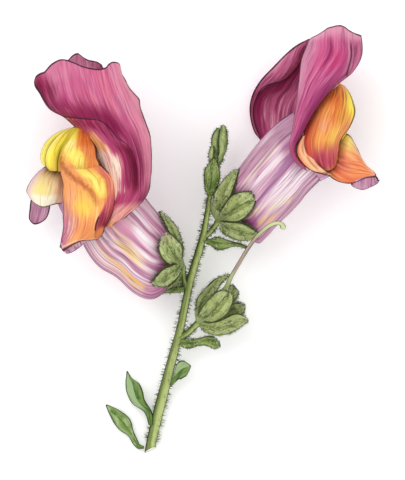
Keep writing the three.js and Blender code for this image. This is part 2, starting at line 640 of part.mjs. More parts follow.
const LEFT_APRON = [
  [[98, 228, 23.6], [86, 233, 19], [79, 236, 14.4], [78, 232, 10.8], [82, 224, 7.6]],
  [[67, 201, 21], [65, 204, 17.4], [62, 209, 14.6], [61, 208, 12], [66, 200, 9.6]],
  [[66.6, 184, 20.2], [65, 186, 16.8], [60, 189, 14.2], [54, 189, 12], [54, 186, 10.6]],
  [[66, 176.2, 18.6], [64.6, 176, 16], [58, 176, 14], [50, 177, 12.8], [44, 179, 12.2]],
];

// ---- right bloom: upper lip ----
const RIGHT_NEAR_PAGE = [
  [
    [306.4, 170.8, 21.8], [306, 170.2, 22.2], [305.7, 169.6, 22.4], [305.4, 169, 22.5],
    [305.1, 168.4, 22.4], [304.8, 167.8, 22.2], [304.4, 167, 21.8],
  ],
  [
    [296.2, 163.4, 22], [296.5, 162.9, 22.5], [296.9, 162.4, 22.8], [297.3, 161.8, 22.9],
    [297.6, 161.3, 22.8], [298, 160.8, 22.5], [298.4, 160.2, 22],
  ],
  [
    [290.5, 154, 21.8], [291.1, 153.8, 22.5], [291.7, 153.5, 22.8], [292.3, 153.2, 23],
    [292.9, 152.8, 22.9], [293.6, 152.4, 22.6], [294.3, 152, 22],
  ],
  [
    [289.6, 144, 21.8], [290.5, 144.2, 22.5], [291.5, 144.4, 23], [292.4, 144.6, 23.2],
    [293.4, 144.7, 23.1], [294.3, 144.9, 22.8], [295.3, 145, 22.2],
  ],
  [
    [291.9, 132, 22], [293.6, 132.4, 23.1], [295.3, 132.8, 23.6], [297, 133.2, 23.9],
    [298.7, 133.5, 23.7], [300.4, 133.8, 23.2], [302.2, 134, 22.4],
  ],
  [
    [294.5, 115, 22], [297.2, 115.6, 23.5], [300.2, 116, 24.3], [303.2, 116.3, 24.6],
    [306.2, 116.2, 24.4], [309.2, 115.9, 23.8], [312, 115.4, 22.8],
  ],
  [
    [296.7, 99, 22], [301, 99.8, 24], [305.6, 100.3, 25.1], [310.2, 100.5, 25.5],
    [314.9, 100.3, 25.2], [319.5, 99.7, 24.4], [324, 98.6, 23.2],
  ],
  [
    [298.6, 82, 22], [305, 82.8, 24.4], [311.6, 83.5, 25.8], [318.2, 84, 26.3],
    [324.8, 84.3, 26], [331.4, 84.4, 25], [338, 83.8, 23.4],
  ],
  [
    [301, 61, 22], [310.4, 63.4, 24.7], [320, 65.8, 26.4], [329.4, 68, 27],
    [338.4, 70.6, 26.6], [346.6, 73.6, 25.2], [352.6, 71.6, 22.6],
  ],
  [
    [305.4, 48.6, 22], [316, 50, 24.8], [326.6, 52, 26.6], [336.6, 54.4, 27.2],
    [344.6, 56.4, 26.6], [350.4, 57.6, 25], [360.8, 57.6, 22],
  ],
  [
    [307.4, 43.4, 22], [318, 42, 24.8], [328, 41, 26.6], [337, 41.6, 27.1],
    [344.4, 43.6, 26.5], [349.8, 45.6, 25], [362, 45, 22],
  ],
  [
    [309.6, 39.8, 21.8], [319, 34, 24.2], [329, 28.2, 25.6], [337.4, 26.3, 26],
    [343.6, 27.2, 25.8], [349.4, 31.6, 24.8], [360.6, 36, 22.2],
  ],
];
const RIGHT_FAR_PAGE = [
  [
    [262, 141, 4.6], [268, 146, 4.4], [276, 150, 4.6], [284, 152, 5.2], [292, 153, 6.4],
    [299, 152, 8],
  ],
  [
    [254, 130, 3.6], [259, 132, 2], [270, 135, 2.6], [283, 137, 4.2], [295, 138, 6.6],
    [304, 136, 10],
  ],
  [
    [250, 112, 3.4], [254.8, 113, 1.6], [268, 115, 0.5], [284, 117, 2.6], [300, 118, 6.8],
    [312, 117, 14],
  ],
  [
    [252, 96, 3.8], [257.2, 97, 1.8], [271, 98, 0.1], [288, 100, 1.7], [306, 101, 7.6],
    [324, 99.6, 17.8],
  ],
  [
    [260, 81, 5], [268, 86.4, 4.2], [281, 86, 1], [296, 87, 2], [315, 87, 9],
    [337.6, 84.4, 20.8],
  ],
  [
    [273.3, 66.7, 6.4], [281, 77, 6], [291, 74, 2.6], [302, 74, 3.4], [322, 73, 10.4],
    [352, 72.4, 21.4],
  ],
  [
    [287.6, 52.3, 7.6], [293, 64, 7.4], [300, 61, 4.8], [309, 60, 5.8], [329, 59, 12],
    [360.4, 58.4, 21.2],
  ],
  [
    [297.4, 44.6, 8.6], [301, 49, 8.6], [306, 47.6, 7.4], [314, 46, 8.8], [333, 45, 14],
    [361.6, 46, 21.2],
  ],
  [
    [308.6, 38.8, 10], [312, 38.6, 10.2], [316, 38, 11], [323, 37, 12.6], [338, 35.6, 16.6],
    [360.2, 37, 21.6],
  ],
];
const RIGHT_ROOF = [
  [[292.4, 145, 23.4], [295, 148, 18.4], [298, 150, 13], [299.4, 152, 8.2]],
  [[297, 133.2, 24.1], [299, 134, 18.6], [302, 135, 14], [304, 136, 10]],
  [[304, 116.3, 24.7], [306, 116, 20], [309, 116.6, 17], [312, 117, 14]],
  [[313, 100.5, 25.5], [316, 99.6, 21.6], [320, 99.6, 19.8], [324, 99.6, 18]],
  [[326, 84.3, 26], [331, 83.6, 23.4], [335, 84, 22], [337.6, 84.4, 21]],
];

// ---- right bloom: palate ----
const RIGHT_PALATE = [
  [[334, 88, 17.6], [335.5, 86, 18.2], [337.5, 84.2, 18.4], [340.5, 84.7, 18.2], [343.5, 86.2, 17]],
  [[325, 97.5, 18.8], [330, 96, 21], [336.5, 94, 21.8], [343, 92.8, 20.8], [348.4, 92.7, 18]],
  [[316, 109, 19.4], [323, 107.8, 22.4], [333, 106.4, 23.4], [343.5, 104.8, 22.4], [352.8, 103.6, 18.4]],
  [[308.6, 121, 19.4], [317, 119.8, 22.8], [329, 118.4, 24.4], [342, 117, 23.2], [354.4, 113.6, 18.6]],
  [[304, 133, 19.4], [313, 131.8, 22.8], [325.5, 130.4, 24.6], [338, 128.7, 23.4], [349.3, 126.7, 19]],
  [[303.4, 144, 19.2], [312, 143.7, 22.6], [322, 143.2, 24.2], [332, 141.7, 23.2], [340.5, 139.7, 19.8]],
  [[307, 155.5, 19], [314, 155.5, 22], [322, 155.5, 23.2], [330.5, 154, 22.4], [337.2, 152, 20]],
  [[314.4, 164.6, 18.8], [319.5, 165.8, 20.6], [325, 166.3, 21.6], [331, 164.8, 21], [336, 162, 19.6]],
  [[324, 170.2, 18.2], [326, 170.9, 18.8], [328, 171, 19], [330.5, 170.5, 18.8], [333, 168.8, 18.4]],
];
const RIGHT_FAR_HUMP = [
  [[342, 90, 12], [344, 87, 14.6], [343, 86.2, 17], [341.6, 86, 18.6]],
  [[345, 97, 10.8], [349, 94, 14], [348.4, 93, 17.4], [346.4, 93, 19.6]],
  [[348, 107, 10], [353, 104, 14], [352.6, 103.7, 17.8], [349.4, 104, 20.6]],
  [[348, 117, 10], [353.6, 114, 14.2], [354, 113.8, 18], [350, 114.8, 21.2]],
  [[345, 129, 11], [348.8, 127, 14.8], [349, 126.9, 18.4], [345.4, 127.4, 21.2]],
  [[340, 140, 12.6], [342, 139, 16], [340.6, 139.6, 19.2], [337.8, 140.4, 21.2]],
];

// ---- right bloom: lower lip ----
const RIGHT_NEAR_LOBE = [
  [[345, 133, 16.6], [339.6, 146, 17.9], [337, 158, 18.1], [333.4, 167, 17.6], [324.6, 172.4, 17.4]],
  [[349, 135.4, 17.4], [346, 149, 19.8], [344, 161.5, 20.4], [340, 172, 20], [334, 179.6, 18.8]],
  [[351.4, 138.4, 17.2], [350, 151, 19.8], [349.5, 164, 20.7], [347.5, 175, 20.4], [342, 182.8, 19]],
  [[354.8, 144.6, 17], [354.6, 155, 19.4], [354.8, 165.6, 20.6], [353.4, 176, 20.4], [351, 183.6, 19.2]],
  [[358.5, 152, 16.9], [360, 159, 18.9], [360.5, 167, 20.1], [360.2, 175, 20.2], [358.5, 181.2, 19.6]],
  [[364, 163.4, 17], [366.5, 167, 18.6], [367.3, 170.5, 19.7], [367.2, 174.5, 20.1], [366.2, 178, 19.9]],
  [[371.5, 170.2, 17], [373.6, 171.8, 18], [375.2, 174, 18.9], [375.8, 175.8, 19.6], [376, 177.2, 19.8]],
];
const RIGHT_CURL = [
  [[350.6, 181.4, 19.7], [357.5, 179.2, 19.9], [365.5, 176.4, 20], [371, 175.4, 19.9], [375.2, 175.4, 19.4]],
  [[351.4, 184.4, 18.2], [358, 185.4, 18.2], [365, 183.6, 18.2], [371.6, 181.4, 18.4], [377.8, 179, 18.6]],
  [[352.4, 184.6, 17], [358, 188.2, 16.6], [363.6, 189.2, 16.4], [370, 186, 16.8], [376.4, 182.6, 17.2]],
];
const RIGHT_MIDDLE_LOBE = [
  [[341, 137, 15.4], [338.4, 148, 15.4], [334, 160, 15.4]],
  [[349.6, 143, 14.2], [350, 154, 14], [345, 166, 14.2]],
  [[356, 153, 13.6], [357.4, 162, 13.2], [353, 172, 13.6]],
  [[361, 163, 13.6], [361.6, 168, 13.4], [359, 173, 13.8]],
];
const RIGHT_FAR_LOBE = [
  [[337.6, 150, 10.9], [334, 156, 10.4], [329, 163, 9.9]],
  [[345, 152, 9], [341, 161, 7.8], [335, 169, 8.2]],
  [[350, 158, 7], [348, 166, 6.2], [343, 173, 6.8]],
  [[353, 166.6, 6.4], [351.6, 170, 6], [349, 173, 6.4]],
];
const RIGHT_APRON = [
  [[315, 172.4, 20.8], [320.4, 176.6, 18.4], [322, 179.4, 15], [320.6, 177, 11.4], [316, 166, 8.2]],
  [[325.4, 175, 18.4], [328.4, 175.4, 17], [330.4, 174.6, 14.8], [329.4, 171, 12], [325, 164, 9.6]],
  [[334, 171, 17.6], [336, 169.6, 16.6], [337, 167, 14.8], [336, 162, 12.2], [333, 157, 10]],
  [[340, 159, 18.2], [341, 158, 16.6], [341, 156, 14.6], [340, 153, 12.4], [338, 151, 10.4]],
];
const RIGHT_STRIP = [
  [[301.6, 136, 22], [305.4, 136.6, 19.4]], [[296.6, 146, 22.4], [305.4, 146.4, 18.9]],
  [[296, 153, 22.5], [308, 155.4, 18.7]], [[300.4, 162, 22.5], [313.6, 164.2, 18.5]],
  [[309, 169.6, 22.2], [320, 170.2, 18.3]], [[319, 173.4, 20.9], [327, 172.6, 18]],
  [[327, 174.6, 19], [333, 174.6, 18]],
];

// ---- inside the blooms: one pistil and four stamens each, [x, y, z, radius] ----
const LEFT_PISTIL = [
  [173.4, 261.4, 8, 0.7], [169, 259.6, 8.1, 1.35], [164, 255.4, 8.5, 1.2], [158, 247, 9.2, 0.5],
  [147, 232, 10.6, 0.34], [130, 209, 12.8, 0.32], [113, 187, 15, 0.32], [103, 172, 16.2, 0.34],
  [98, 165, 16.8, 0.52], [96, 162.4, 17, 0.3],
];
const RIGHT_PISTIL = [
  [229.4, 211.8, 9.1, 0.7], [233.6, 209.6, 9.3, 1.35], [238.4, 204.8, 9.8, 1.2],
  [244.6, 196, 10.6, 0.5], [256, 182, 12, 0.34], [273, 162, 14, 0.32], [289, 145, 15.6, 0.32],
  [300, 134, 16.6, 0.34], [305, 129, 17, 0.52], [307, 127, 17.2, 0.3],
];
const SPENT_PISTIL = [
  [203.6, 319, 8.4, 0.9], [207.6, 313.6, 9, 1.9], [213, 306.4, 9.6, 2.25], [219, 298.6, 9.8, 1.7],
  [223.6, 292.4, 9.9, 0.9], [227, 286.6, 10.2, 0.58], [231, 277, 11.5, 0.46],
  [239.4, 262.6, 14, 0.42], [248, 248.3, 16.6, 0.42], [257.6, 235.8, 18.6, 0.42],
  [268, 226.6, 19.2, 0.42], [276, 223.2, 19, 0.42], [281, 224, 18.6, 0.48],
  [283.2, 227.6, 18, 0.62], [283.4, 229.4, 17.8, 0.3],
];
const COLLAR_SIDES = 10;
const FILAMENT = 0.3; // radius of a stamen's thread
const ANTHER = 0.62; // radius of a pollen sac

// Stamens: threads through plan points, each ending in a plump sac.
const LEFT_STAMENS = [
  [[172.4, 252.8, 9.6], [160, 236, 11.4], [141, 210, 13.8], [122, 190, 16]],
  [[172.4, 252.8, 6.9], [158, 234, 7.6], [138, 211, 9.6], [117, 191, 11.6]],
  [[162.6, 263.6, 9.6], [150, 252, 12], [128, 232, 14.6], [108, 210, 16.6]],
  [[162.6, 263.6, 6.9], [149, 252, 7.6], [126, 232, 9.4], [105, 210, 11.4]],
];
const RIGHT_STAMENS = [
  [[231.4, 201.4, 11], [243, 187, 12.6], [262, 165, 14.8], [283, 146, 17]],
  [[231.4, 201.4, 8.2], [244, 188, 8.6], [263, 166, 10.4], [284, 147, 12.8]],
  [[241.8, 211.8, 11], [252, 203, 13], [272, 186, 15.2], [291, 167, 17]],
  [[241.8, 211.8, 8.2], [253, 203, 8.6], [274, 185, 10.4], [293, 167, 12.2]],
];
const LEFT_COLLAR = [
  [176.8, 251.9, 162.2, 268.1, 8.1, 2.4], [172.8, 248.4, 158.2, 264.6, 8.4, 2.4],
];
const RIGHT_COLLAR = [
  [226.9, 200.9, 242.3, 216.3, 9.4, 2.4], [230.9, 196.9, 246.3, 212.3, 9.8, 2.4],
];

function stamenSolids(threads, collar, extra) {
  const rods = threads.map((path) => {
    const reach = path.map((p, i) => [...p, i === path.length - 1 ? ANTHER : FILAMENT]);
    const end = path[path.length - 1];
    const before = path[path.length - 2];
    const tip = end.map((v, k) => v + (v - before[k]) * 0.35);
    return rod([...reach, [...tip, FILAMENT]], 8, 5, extra);
  });
  return [ring(collar, extra), ...rods];
}

// A short open sleeve round the ovary that ties the stamens' feet together.
function ring(stations, extra) {
  const circle = (station, inset) => {
    const [xa, ya, xb, yb, z, depth] = station;
    const a = plan([xa, ya, z]);
    const b = plan([xb, yb, z]);
    const side = a.clone().sub(b).normalize();
    const centre = a.clone().add(b).multiplyScalar(0.5);
    const up = new THREE.Vector3(0, 0, 1);
    const wide = a.distanceTo(b) / 2 - inset;
    return ringPoints(centre, side, up, wide, depth - inset, COLLAR_SIDES);
  };
  const loops = [
    ...stations.map((s) => circle(s, -extra)),
    ...stations.map((s) => circle(s, WALL + extra)).reverse(),
  ];
  const points = loops.flat();
  const triangles = [];
  loops.forEach((_, i) => {
    const low = i * COLLAR_SIDES;
    const high = ((i + 1) % loops.length) * COLLAR_SIDES;
    for (let k = 0; k < COLLAR_SIDES; k++) {
      const next = (k + 1) % COLLAR_SIDES;
      triangles.push(low + k, low + next, high + k, low + next, high + next, high + k);
    }
  });
  return fromTriangles(points, triangles);
}

// ---- the pieces, first come first served: a later one gives way ----
const sheetOf = (rows, down, across) => (extra) => slab(net(rows, down, across), PETAL, extra);
const bladeOf = (pairs, rise, along, across) => (extra) => [
  blade(pairs, rise, along, across, extra),
];
const sheets = (...makers) => (extra) => makers.map((make) => make(extra));

const PIECES = [
  ["stem", "#a4bc54", 0.7, stemSolids],
  ["left_tube", "#e0b0d0", 0.55, (e) => [cup(LEFT_TUBE_POLE, LEFT_TUBE, 10, 18, WALL, e)]],
  ["right_tube", "#e0b0d0", 0.55, (e) => [cup(RIGHT_TUBE_POLE, RIGHT_TUBE, 10, 18, WALL, e)]],
  ["left_pistil", "#c8dc90", 0.6, (e) => [rod(LEFT_PISTIL, 14, 7, e)]],
  ["right_pistil", "#c8dc90", 0.6, (e) => [rod(RIGHT_PISTIL, 14, 7, e)]],
  ["left_stamens", "#f0e2a0", 0.6, (e) => stamenSolids(LEFT_STAMENS, LEFT_COLLAR, e)],
  ["right_stamens", "#f0e2a0", 0.6, (e) => stamenSolids(RIGHT_STAMENS, RIGHT_COLLAR, e)],
  [
    "left_palate", "#fbdc3c", 0.5,
    sheets(sheetOf(LEFT_PALATE, 9, 10), sheetOf(LEFT_FAR_HUMP, 6, 4)),
  ],
  [
    "right_palate", "#f08a34", 0.5,
    sheets(sheetOf(RIGHT_PALATE, 9, 7), sheetOf(RIGHT_FAR_HUMP, 6, 4)),
  ],
  [
    "left_upper_lip", "#c8588a", 0.5,
    sheets(
      sheetOf(LEFT_NEAR_PAGE, 13, 11), sheetOf(LEFT_FAR_PAGE, 9, 5), sheetOf(LEFT_ROOF, 4, 5)
    ),
  ],
  [
    "right_upper_lip", "#c8588a", 0.5,
    sheets(
      sheetOf(RIGHT_NEAR_PAGE, 15, 7), sheetOf(RIGHT_FAR_PAGE, 9, 7), sheetOf(RIGHT_ROOF, 4, 3)
    ),
  ],
  [
    "left_lower_lip", "#f0a050", 0.5,
    sheets(
      sheetOf(LEFT_NEAR_LOBE, 11, 8), sheetOf(LEFT_MIDDLE_LOBE, 6, 5),
      sheetOf(LEFT_FAR_LOBE, 6, 4), sheetOf(LEFT_APRON, 4, 5)
    ),
  ],
  [
    "right_lower_lip", "#f08a48", 0.5,
    sheets(
      sheetOf(RIGHT_NEAR_LOBE, 9, 7), sheetOf(RIGHT_CURL, 3, 6), sheetOf(RIGHT_MIDDLE_LOBE, 4, 4),
      sheetOf(RIGHT_FAR_LOBE, 4, 4), sheetOf(RIGHT_APRON, 4, 5), sheetOf(RIGHT_STRIP, 7, 2)
    ),
  ],
  ["left_calyx", "#8ca050", 0.75, (e) => calyxSolids(LEFT_CUP_POLE, LEFT_CUP, LEFT_SEPALS, e)],
  ["right_calyx", "#8ca050", 0.75, (e) => calyxSolids(RIGHT_CUP_POLE, RIGHT_CUP, RIGHT_SEPALS, e)],
  ["spent_pistil", "#b8a880", 0.6, (e) => [rod(SPENT_PISTIL, 22, 8, e)]],
  ["spent_calyx", "#8ca050", 0.75, (e) => calyxSolids(SPENT_CUP_POLE, SPENT_CUP, SPENT_SEPALS, e)],
  ["bud_cluster", "#98b058", 0.75, budSolids],
  ["bud_bract", "#94ac58", 0.75, bladeOf(BUD_BRACT, BRACT_RISE, 9, 6)],
  ["right_bract", "#86a452", 0.75, bladeOf(RIGHT_BRACT, BRACT_RISE, 8, 4)],
  ["left_bract", "#86a452", 0.75, bladeOf(LEFT_BRACT, BRACT_RISE, 6, 4)],
  ["spent_bract", "#86a452", 0.75, bladeOf(SPENT_BRACT, BRACT_RISE, 9, 4)],
  ["small_leaf", "#7aa050", 0.7, bladeOf(SMALL_LEAF, LEAF_RISE, 8, 4)],
  ["foot_leaf", "#6c9848", 0.7, bladeOf(FOOT_LEAF, LEAF_RISE, 11, 6)],
  ["loose_leaf", "#6c9848", 0.7, bladeOf(LOOSE_LEAF, LEAF_RISE, 12, 6)],
];

// The block of space under the surface: what a piece dips into it is cut flat.
function belowSurface() {
  const block = new THREE.BoxGeometry(FLOOR_WIDTH, FLOOR_WIDTH, FLOOR_DEPTH);
  block.deleteAttribute("normal");
  block.deleteAttribute("uv");
  block.translate(0, 0, -FLOOR_DEPTH / 2);
  return solid(block);
}

const under = belowSurface();
const taken = [];
const root = new THREE.Group();
root.name = "snapdragon_stem";

for (const [name, colour, roughness, make] of PIECES) {
  let body = joined(make(0)).subtract(under);
  for (const fat of taken) body = body.subtract(fat);
  const material = new THREE.MeshStandardMaterial({ color: colour, roughness, metalness: 0 });
  const mesh = new THREE.Mesh(toGeometry(largest(largest(body).simplify(FINEST))), material);
  mesh.name = name;
  root.add(mesh);
  taken.push(joined(make(GAP)));
}

export default root;
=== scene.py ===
import bpy
import numpy as np
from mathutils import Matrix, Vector


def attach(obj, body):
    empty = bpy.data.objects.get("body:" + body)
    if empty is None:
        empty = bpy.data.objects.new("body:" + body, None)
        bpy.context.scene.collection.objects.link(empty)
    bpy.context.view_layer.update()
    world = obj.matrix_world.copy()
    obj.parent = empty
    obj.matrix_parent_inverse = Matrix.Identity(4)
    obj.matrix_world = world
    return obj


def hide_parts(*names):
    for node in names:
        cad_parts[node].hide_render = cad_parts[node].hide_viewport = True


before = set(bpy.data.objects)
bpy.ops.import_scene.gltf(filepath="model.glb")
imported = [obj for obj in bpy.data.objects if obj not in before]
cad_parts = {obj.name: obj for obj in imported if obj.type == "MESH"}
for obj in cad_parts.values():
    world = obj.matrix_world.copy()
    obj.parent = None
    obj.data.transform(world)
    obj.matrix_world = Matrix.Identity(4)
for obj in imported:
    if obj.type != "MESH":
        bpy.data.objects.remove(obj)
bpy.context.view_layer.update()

# ---- sizes, millimetres unless said otherwise ----
STEP = 0.22  # one plan unit; plan x runs right, plan y runs down
CENTRE = (201.8, 238.9)  # plan point that lies at the origin
VIEW_AT = (202.5, 240.0, 14.0)  # plan point and height that the camera looks at
VIEW_HEIGHT = 3000.0  # from there up to the camera
VIEW_TALL = 480 * STEP  # how much of the plan's y the view takes in
FLOOR_HALF = 1.5  # metres
FLOOR_GLOW = 0.13  # the floor's own faint glow, painted light that keeps the soft shadows under the stem pale
DAYLIGHT = 0.97
LAMPS = {  # place and size in metres, power in watts
    "key": ((-0.28, 0.3, 0.62), 0.5, 1.5),
    "fill": ((0.4, -0.2, 0.6), 0.7, 0.5),
}
LAMP_AIM = (0, 0, 0.01)
LOWEST = 0.02  # no point of a dressed piece lies lower than this
PETAL, PETAL_RIM = 0.36, 0.15  # thickness inside a petal and at its rim
LEAF, LEAF_RIM = 0.34, 0.16  # the same for leaves, bracts and sepals
WALL = 0.4  # thickness of the corolla tubes, the calyx cups and the stamens' rings
BRACT_RISE, LEAF_RISE, SEPAL_RISE = 0.5, 0.45, 0.55  # how far each kind of leaf is domed
DOME = 0.2  # most that a leaf is domed, as a share of its width
FOOT_SLANT = 0.85  # how far the cut rises and falls at the stem's foot
LIP = 0.9  # how far a rim bulges out, as a share of half its thickness
HAIR = 0.062  # radius at a hair's foot
HAIR_ROOT = 0.05  # how deep a hair is rooted
HAIR_WAIST = 0.62  # radius half-way up a hair, as a share of the foot's
STAMEN = 0.26  # radius of a stamen's thread
SAC_STEP = 0.09  # an anther's own step, as a share of the last stretch of its thread
SAC_SIDE = 1.1  # how far each of its two sacs lies beside the thread, in such steps
# One sac: how many steps on from the thread's end, and the radius there.
SAC = ((-0.6, 0.2), (0.3, 0.62), (1.6, 0.66), (2.8, 0.5), (3.4, 0.2))
NO_EDGE = 9.0  # stands for "far from every margin" in the value called edge
FAR_OFF = 99.0  # millimetres, more than any petal measures
FLANK_HAIRS = 0.55  # share of a rod's hairs that are drawn to its two sides
SENSOR = 36  # width of the camera's sensor
rng = np.random.default_rng(7)


# ---- forms: control points, x and y in plan units, heights and radii in millimetres ----
# Stem, stalks, buds and pistils: [x, y, z, radius], from the foot on.
# Bracts, leaves and sepals: the two edge points [x, y, z] of each row, from the root on.
# Cups, tubes and collars: [x, y, x, y, z, depth], the ends of a width, its height and half
# of how deep the ring is there, from the pole on.
# Sheets: rows of [x, y, z] across. Pages, roofs and lobes run from the tube outwards, palates,
# humps and the strip from the upper lip to the lower one, aprons along under the lobes.
STEM = [
    [150, 451, 1.03, 1.12], [152, 440, 1.15, 1.1], [157.5, 416, 1.9, 1.12], [165, 387, 3, 1.08],
    [172, 360, 4.2, 0.97], [180, 330, 5.6, 0.86], [185, 306, 6.6, 0.84], [191.2, 277, 7.6, 0.84],
    [200, 248, 8.6, 0.82], [204, 232, 9.1, 0.66], [207, 215, 9.4, 0.6], [209.7, 197, 9.6, 0.5],
    [211.5, 186, 9.6, 0.45], [213, 176, 9.4, 0.4],
]
LEFT_STALK = [
    [187, 291, 7.2, 0.6], [184, 280, 7.5, 0.56], [183, 271, 7.8, 0.55], [183, 266, 8, 0.7],
]
RIGHT_STALK = [
    [203, 239, 9, 0.6], [211, 231, 9.1, 0.55], [215, 226, 9, 0.55], [217.5, 222.5, 9, 0.75],
]
SPENT_STALK = [
    [179, 339, 5.4, 0.7], [188, 333, 6, 0.66], [194, 327, 6.8, 0.66], [198.5, 322.8, 7.4, 0.8],
]
BUD_AXIS = [[213.6, 171.5, 9.4, 0.4], [215, 166, 9.5, 0.45], [217, 159, 9.5, 0.5]]
RIGHT_BUD = [
    [218.4, 160, 9.6, 0.35], [221.5, 154, 9.9, 0.62], [222.7, 148, 10.2, 0.9],
    [223, 141, 10.5, 1.02], [223, 134, 10.7, 0.9], [223.2, 128, 10.8, 0.6],
    [223, 124.6, 10.8, 0.2],
]
BACK_BUD = [
    [217, 160, 9, 0.4], [216.2, 153, 8.6, 0.75], [215.6, 144, 8.4, 0.92], [216, 136, 8.5, 0.85],
    [217.6, 130.5, 8.7, 0.5], [218.8, 127.8, 8.8, 0.2],
]
LEFT_BUD = [
    [214.5, 167, 9.6, 0.3], [211.8, 160.5, 10.1, 0.52], [211.4, 155, 10.3, 0.64],
    [212, 149.5, 10.4, 0.52], [212.6, 145.4, 10.4, 0.2],
]
SIDE_BUD = [
    [215.5, 168, 9.5, 0.3], [219, 163, 9.8, 0.45], [221, 159, 10, 0.48], [222.6, 155, 10.1, 0.2],
]
BUD_BRACT = [
    [[207.3, 194, 10.5], [213.3, 196, 10.5]], [[204.6, 187, 11.4], [217, 187.7, 11.3]],
    [[204.2, 176, 12.2], [219.7, 178, 11.9]], [[205.2, 169, 12.2], [219.4, 169.5, 11.9]],
    [[208.6, 164, 12], [217.6, 164, 11.7]], [[213.6, 158, 11.5], [215.2, 158, 11.4]],
]
RIGHT_BRACT = [
    [[204.4, 240.9, 9.9], [204.4, 243.1, 9.9]], [[208, 239.9, 10.2], [208, 243.5, 10.2]],
    [[215.8, 237, 10.6], [215.5, 249, 10.6]],
    [[222.5, 238.2, 10.9], [222, 249.6, 10.7]], [[230, 241, 10.7], [229, 247.6, 10.3]],
    [[239.7, 243.3, 10.2], [238, 246.3, 9.9]], [[246.8, 245.8, 9.8], [246.2, 249, 9.7]],
]
LEFT_BRACT = [
    [[184, 286.8, 8.8], [183, 292, 8.8]], [[177, 287.6, 8.4], [176, 292.8, 8.2]],
    [[170, 288.6, 7.6], [169.5, 292.9, 7.2]], [[164, 290, 6.6], [163.5, 292.2, 6.2]],
]
SPENT_BRACT = [
    [[180.5, 339.4, 6.7], [181, 346.8, 6.6]], [[188.7, 338.8, 6.9], [190, 348.7, 6.6]],
    [[198.3, 338.7, 6.7], [199.5, 345.6, 6.3]], [[207, 336.5, 6.4], [207.8, 346.3, 6]],
    [[214, 337.2, 6], [214.5, 349, 5.6]], [[219.8, 342.8, 5.4], [220.6, 346.4, 5.3]],
]
SMALL_LEAF = [
    [[172, 381.5, 4.1], [170.5, 387.5, 4]], [[175, 370, 4.7], [177.5, 380.4, 4.4]],
    [[178, 363, 5], [182.6, 378.4, 4.7]], [[183, 361.2, 5], [187, 375, 4.7]],
    [[190, 365.2, 4.8], [190.9, 366.8, 4.7]],
]
FOOT_LEAF = [
    [[148.6, 425.5, 2.4], [153.4, 425.5, 2.5]], [[144.2, 413, 2.4], [151.6, 412.5, 2.5]],
    [[132, 404, 2.2], [144.6, 401, 2.8]], [[126.4, 392.6, 2], [142.4, 392, 2.8]],
    [[125.4, 383, 2], [138.8, 384, 2.6]], [[126, 376.5, 2.2], [132, 379, 2.4]],
    [[126.4, 371.8, 2.4], [127.4, 371.8, 2.4]],
]
LOOSE_LEAF = [
    [[143.4, 449.4, 1.4], [143.6, 447, 1.5]], [[138, 449.6, 1.3], [139.6, 445.4, 1.4]],
    [[133, 445, 1.2], [137, 440.6, 1.4]], [[127.8, 436.6, 1.1], [132.8, 431, 1.3]],
    [[119.4, 430.8, 1], [131.2, 424, 1.2]], [[113.6, 423.6, 1], [127.6, 417.6, 1.2]],
    [[109, 414.6, 1], [118.2, 410.6, 1.1]], [[105.4, 406.4, 1.1], [106.4, 405.2, 1.1]],
]
LEFT_CUP = [
    [184.2, 262.6, 184.2, 267.4, 8, 0.7], [182.4, 255, 182.4, 274.4, 8, 2.2],
    [179.6, 248, 179.6, 279.6, 8, 3.5], [176, 243, 176, 284, 8, 4.6],
]
LEFT_CUP_POLE = [185, 265, 8]
LEFT_SEPALS = [
    [
        [[178, 256, 9], [182, 259, 9]], [[175, 247, 10.2], [183, 250, 9.5]],
        [[171, 237, 11], [181.2, 239.6, 9.6]], [[167, 229, 11.4], [176.3, 227, 9.8]],
        [[162.4, 219.5, 11.6], [167.5, 217.3, 10.2]], [[158.2, 212.2, 11.6], [159, 211.5, 11.4]],
    ],
    [
        [[178, 266, 11.6], [181.4, 259, 11.4]], [[168, 263.6, 15], [182, 250, 13.6]],
        [[161.6, 257, 16], [180.6, 244.5, 14.8]], [[158.8, 249, 16.2], [176.5, 239.4, 15.2]],
        [[160.4, 241.4, 16], [171.4, 235, 15.4]], [[164.2, 234.6, 15.6], [165.4, 234, 15.6]],
    ],
    [
        [[178, 262.8, 11.4], [181.6, 268, 10.8]], [[172.7, 265, 14.8], [179, 274.5, 12.6]],
        [[163.8, 268.4, 15.8], [173.6, 280.7, 13.4]], [[156.4, 276, 15.8], [164.6, 286, 13.6]],
        [[151.6, 283.4, 14.6], [152.6, 285, 14.4]],
    ],
    [
        [[179, 270, 8.6], [182.6, 270, 7.4]], [[174, 281, 8.8], [182, 284, 6.6]],
        [[166, 286.6, 8], [177, 289, 6]], [[158, 291, 6.4], [161, 293, 5.6]],
    ],
    [
        [[180, 260, 4.7], [180, 269, 4.7]], [[172, 250, 2.3], [173, 273, 2.1]],
        [[163, 248, 1.3], [162, 274, 1.1]], [[155, 252, 1], [153, 268, 0.9]],
        [[149, 258.6, 1.1], [148.4, 260, 1.1]],
    ],
]
RIGHT_CUP = [
    [214.9, 219.8, 219, 223.4, 9, 0.7], [211.5, 214, 226.1, 226, 9, 2.2],
    [209.8, 208.8, 233.6, 228.2, 9, 3.5], [210, 203.8, 240.4, 229.4, 9, 4.6],
]
RIGHT_CUP_POLE = [216.2, 222.7, 9]
